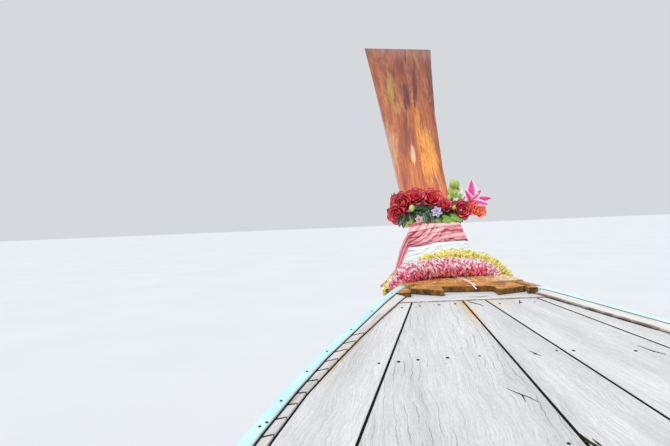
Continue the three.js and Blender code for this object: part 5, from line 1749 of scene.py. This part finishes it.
# Wheels that the belt runs round: middle, radius
WHEELS = [((0.0, -0.020), 0.0765), ((0.0, 0.090), 0.0445), ((0.118, 0.060), 0.0325)]
BELT_SIDES, BELT_THICKNESS = (0.6345, 0.6455), 0.006
around = np.linspace(0, 2 * math.pi, 49)[:-1]
grooves = [(y + r * math.cos(a), z + r * math.sin(a)) for (y, z), r in WHEELS for a in around]


def tight_loop(points):
    """The points of a belt pulled tight round them all, in order."""
    ordered = sorted(points)
    pulled = []
    for row in (ordered, ordered[::-1]):
        chain = []
        for y, z in row:
            while len(chain) > 1:
                (ya, za), (yb, zb) = chain[-2:]
                if (yb - ya) * (z - za) - (zb - za) * (y - ya) > 0:
                    break
                chain.pop()
            chain.append((y, z))
        pulled += chain[:-1]
    return pulled


belt = bmesh.new()
rows = [[belt.verts.new((x, y, z)) for x in BELT_SIDES] for y, z in tight_loop(grooves)]
for a, b in zip(rows, rows[1:] + rows[:1]):
    belt.faces.new((a[0], a[1], b[1], b[0]))
bmesh.ops.recalc_face_normals(belt, faces=belt.faces)
drive_belt = piece_of(belt, "belt")
add_modifier(drive_belt, "SOLIDIFY", thickness=BELT_THICKNESS, offset=1.0)
engine_part(drive_belt, "drive_belt", black_rubber, smooth=30.0)


# Cylinder head: an iron head under a pressed rocker cover, with the oil filler, injectors and
# their thin steel pipes in the open along the starboard side.
CYLINDERS = (0.190, 0.300, 0.410, 0.520)
head_parts = [
    block((0.125, -0.095, 0.1203), (0.590, 0.095, 0.206), 0.006, 3),
    block((0.118, -0.100, 0.206), (0.597, 0.100, 0.214), 0.003),
]
for x in CYLINDERS:
    head_parts.append(block((x - 0.024, -0.104, 0.145), (x + 0.024, -0.093, 0.195), 0.004))
engine_part(joined(head_parts), "iron_cylinder_head", enamel, stands_for="cylinder_head")
cover_parts = [
    block((0.150, -0.058, 0.213), (0.565, 0.058, 0.272), 0.016, 4),
    block((0.140, -0.066, 0.212), (0.575, 0.066, 0.219), 0.003),
]
for y in (-0.030, 0.0, 0.030):
    cover_parts.append(block((0.190, y - 0.005, 0.268), (0.500, y + 0.005, 0.279), 0.004, 3))
filler = turned([(0.0, 0.020), (0.010, 0.020), (0.010, 0.026), (0.024, 0.026), (0.027, 0.022)], 32)
cover_parts.append(placed(filler, Matrix.Translation((0.535, 0.0, 0.262))))
engine_part(joined(cover_parts), "pressed_rocker_cover", bare_casting)
injector = turned(
    [(0.0, 0.011), (0.012, 0.011), (0.012, 0.008), (0.030, 0.008), (0.034, 0.005), (0.040, 0.005)], 16,
)
injector_places = [facing((x, -0.082, 0.214), (0, -0.25, 1)) for x in CYLINDERS]
engine_copies(injector, injector_places, "injectors", bolt_steel)
head_nuts = [
    Matrix.Translation((x, side * 0.082, 0.214))
    for x in (0.140, 0.245, 0.355, 0.465, 0.575)
    for side in (1, -1)
]
engine_copies(hex_bolt(0.0072), head_nuts, "head_nuts", bolt_steel)


def bent_pipe(points, radius, sides=12, smooth=6):
    """A pipe of one radius along a smooth path, its ends closed, smooth steps to each bend."""
    path = bpy.data.curves.new("pipe", "CURVE")
    path.dimensions = "3D"
    path.bevel_depth = radius
    path.bevel_resolution = sides // 4
    path.use_fill_caps = True
    path.resolution_u = smooth
    line = path.splines.new("NURBS")
    line.points.add(len(points) - 1)
    for point, place in zip(line.points, points):
        point.co = (*place, 1.0)
    line.use_endpoint_u = True
    line.order_u = 3
    pipe = bpy.data.objects.new("pipe", path)
    bpy.context.collection.objects.link(pipe)
    select_only(pipe)
    bpy.ops.object.convert(target="MESH")
    return bpy.context.object


INJECTOR_PIPE = 0.003
pump_body = [
    block((0.300, -0.172, -0.060), (0.470, -0.126, 0.000), 0.010, 3),
    block((0.300, -0.160, 0.000), (0.470, -0.138, 0.012), 0.003),
]
for k, x in enumerate(CYLINDERS):
    start = 0.322 + 0.042 * k
    rise = [(start, -0.149, 0.010), (start, -0.149, 0.080), (x, -0.150, 0.120), (x, -0.128, 0.235)]
    pump_body.append(bent_pipe(rise + [(x, -0.100, 0.262), (x, -0.0925, 0.252)], INJECTOR_PIPE, 8))
filter_can = turned([(0.0, 0.024), (0.012, 0.036), (0.085, 0.036), (0.092, 0.030)], 32)
pump_body.append(placed(filter_can, facing((0.235, -0.160, 0.000), (0, -0.2, -1))))
pump_body.append(block((0.205, -0.165, 0.000), (0.262, -0.124, 0.020), 0.005))
engine_part(joined(pump_body), "injection_pump_and_filter", bolt_steel)

exhaust_rust = material_of(
    "heat_rusted_pipe", worn_metal, pale="#7a5a48", deep="#523526", metallic=0.2, rough=0.75, rust=0.50,
    grain=60.0,
)
EXHAUST_RADIUS = 0.024
flange_set = [block((0.160, 0.108, 0.152), (0.560, 0.140, 0.198), 0.012, 3)]
for x in CYLINDERS:
    flange_set.append(block((x - 0.026, 0.0955, 0.148), (x + 0.026, 0.103, 0.202), 0.002))
    flange_set.append(block((x - 0.016, 0.100, 0.158), (x + 0.016, 0.125, 0.192), 0.008, 3))
EXHAUST = [
    (0.480, 0.130, 0.178), (0.380, 0.150, 0.182), (0.250, 0.165, 0.190), (0.150, 0.170, 0.205),
    (0.085, 0.172, 0.245), (0.040, 0.172, 0.340), (0.020, 0.172, 0.420), (-0.010, 0.172, 0.520),
    (-0.040, 0.172, 0.620),
]
flange_set.append(bent_pipe(EXHAUST, EXHAUST_RADIUS, 20, 8))
collar = turned([(0.0, 0.036), (0.010, 0.036)], 28)
flange_set.append(placed(collar, facing((0.250, 0.165, 0.190), (-1, 0.05, 0.05))))
engine_part(joined(flange_set), "rusted_exhaust", exhaust_rust, stands_for="exhaust")

can_profile = [
    (0.0, 0.078), (0.006, 0.085), (0.070, 0.085), (0.072, 0.080), (0.082, 0.080), (0.084, 0.085),
    (0.098, 0.085), (0.106, 0.078), (0.110, 0.060), (0.110, 0.020), (0.114, 0.018),
]
can = turned(can_profile, 56)
intake = [placed(can, Matrix.Translation((0.350, -0.190, 0.188)))]
intake.append(block((0.290, -0.190, 0.152), (0.410, -0.0955, 0.190), 0.010, 3))
intake.append(block((0.170, -0.132, 0.150), (0.540, -0.1045, 0.184), 0.011, 3))
intake.append(block((0.334, -0.194, 0.302), (0.366, -0.186, 0.312), 0.003))
engine_part(joined(intake), "pressed_air_cleaner", bare_casting, stands_for="air_cleaner")

HOSE_RADIUS = 0.016
HOSE = [
    (0.616, 0.0, 0.148), (0.640, 0.0, 0.175), (0.650, 0.012, 0.205), (0.625, 0.030, 0.225),
    (0.592, 0.036, 0.196),
]
engine_part(bent_pipe(HOSE, HOSE_RADIUS, 16, 8), "coolant_hose", black_rubber)


# Tiller: a bent steel tube welded to the cradle's front bar, with a ribbed rubber grip and a
# throttle lever, long enough to steer from the after thwart.
TILLER_RADIUS = 0.017
TILLER = [
    (0.7803, 0.0, 0.0), (0.860, 0.0, -0.004), (0.980, 0.0, -0.025), (1.180, 0.0, -0.082),
    (1.400, 0.0, -0.150), (1.580, 0.0, -0.200), (1.750, 0.0, -0.250),
]
socket = placed(turned([(0.0, 0.024), (0.028, 0.024), (0.031, 0.020)], 32), facing(TILLER[0], X_AXIS))
tiller_parts = [bent_pipe(TILLER, TILLER_RADIUS, 20, 6), socket]
engine_part(joined(tiller_parts), "tiller_tube", galvanised, stands_for="tiller")
grip_way = (Vector(TILLER[-1]) - Vector(TILLER[-2])).normalized()
ribbed = [(0.0, 0.021)]
for k in range(10):
    rib = 0.013 * k
    ribbed += [(0.006 + rib, 0.0225), (0.012 + rib, 0.0225), (0.014 + rib, 0.0200), (0.017 + rib, 0.0200)]
ribbed += [(0.142, 0.024), (0.148, 0.024), (0.150, 0.0)]
grip = placed(turned(ribbed, 32), facing(Vector(TILLER[-1]) - grip_way * 0.145, grip_way))
engine_part(grip, "ribbed_rubber_grip", black_rubber)
lever_path = [(1.545, 0.0, -0.170), (1.560, 0.012, -0.158), (1.610, 0.030, -0.168), (1.680, 0.032, -0.190)]
lever_clamp = placed(turned([(0.0, 0.022), (0.018, 0.022)], 24), facing((1.535, 0.0, -0.187), grip_way))
lever = joined([bent_pipe(lever_path, 0.0045, 10), lever_clamp])
engine_part(lever, "throttle_lever", bolt_steel)


# Tail: the long tube that the propeller shaft runs in, with clamped collars, and a flat skeg
# below its end that keeps the blades off the bottom.
TAIL_END, TUBE_RADIUS, SHAFT_BORE = -3.150, 0.034, 0.0172
CLAMPS, CLAMP_WIDTH, CLAMP_RADIUS = (-0.090, -1.000, -2.000, -2.980), 0.038, 0.0365
tube_profile = [(-0.0603, TUBE_RADIUS)]
for x in CLAMPS:
    tube_profile += [(x, TUBE_RADIUS), (x - 0.002, CLAMP_RADIUS)]
    tube_profile += [(x - 0.036, CLAMP_RADIUS), (x - CLAMP_WIDTH, TUBE_RADIUS)]
tube_profile += [(TAIL_END, TUBE_RADIUS), (TAIL_END, SHAFT_BORE), (TAIL_END + 0.090, SHAFT_BORE)]
sea_steel = material_of(
    "salt_rusted_tube", worn_metal, pale="#8e8c86", deep="#63605b", metallic=0.7, rough=0.5, rust=0.56,
    grain=26.0,
)
tube = placed(turned(tube_profile, 48), facing((0, 0, 0), X_AXIS))
engine_part(tube, "salt_rusted_tail_tube", sea_steel, stands_for="tail_tube")
eased("tail_skeg", "flat_skeg", 0.0016, sea_steel, body="engine")
clamp_bolts = [Matrix.Translation((x - CLAMP_WIDTH / 2, 0.0, 0.0363)) for x in CLAMPS]
engine_copies(hex_bolt(0.006), clamp_bolts, "clamp_bolts", bolt_steel)


# Propeller: three small cast bronze blades with a strong pitch on a tapered hub, filed bright
# along their edges and browned by the sea elsewhere.
BLADES, BLADE_X = 3, -3.220
SHAFT_RADIUS = 0.016
# Blade: radius, half chord, half thickness, twist in degrees
BLADE = [
    (0.018, 0.026, 0.0080, 58.0), (0.060, 0.040, 0.0050, 42.0), (0.105, 0.046, 0.0035, 30.0),
    (0.130, 0.038, 0.0026, 26.0), (0.146, 0.016, 0.0012, 24.0),
]


def blade_section(u, v):
    """A closed section of the blade at a share v of its reach, thin and rounded at the tip."""
    radius = BLADE[0][0] + (BLADE[-1][0] - BLADE[0][0]) * v
    stations = [row[0] for row in BLADE]
    chord, thick, twist = (float(np.interp(radius, stations, [row[k] for row in BLADE])) for k in (1, 2, 3))
    round_tip = math.sqrt(max(0.0, 1 - max(0.0, (v - 0.80) / 0.20) ** 2.4)) if v > 0.80 else 1.0
    chord = max(chord * round_tip, 0.0008)
    a, swing = 2 * math.pi * u, math.radians(twist)
    along, across = chord * math.cos(a), thick * math.sin(a)
    x = along * math.sin(swing) + across * math.cos(swing)
    return Vector((x, along * math.cos(swing) - across * math.sin(swing), radius))


blade = shaped_grid(28, 24, blade_section)
close_up(blade, 1e-5, caps=True)
seat = Matrix.Translation((BLADE_X, 0, 0))
blades = copies(blade, [seat @ Matrix.Rotation(2 * math.pi * k / BLADES, 4, "X") for k in range(BLADES)])
hub_profile = [
    (-3.170, 0.030), (-3.200, 0.030), (-3.260, 0.0245), (-3.262, 0.016), (-3.276, 0.014), (-3.280, 0.0),
]
hub = placed(turned(hub_profile, 40), facing((0, 0, 0), X_AXIS))
shaft = placed(turned([(-3.172, SHAFT_RADIUS), (-3.070, SHAFT_RADIUS)], 32), facing((0, 0, 0), X_AXIS))
screw = placed(joined([blades, hub, shaft]), UNIT)
sea_bronze = material_of(
    "sea_browned_bronze", worn_metal, pale="#b98a45", deep="#7a5527", bare="#d9b36a", metallic=0.95,
    rough=0.34, rust=0.90,
)
settle(screw, "cast_bronze_propeller", sea_bronze, "propeller", stands_for="propeller")
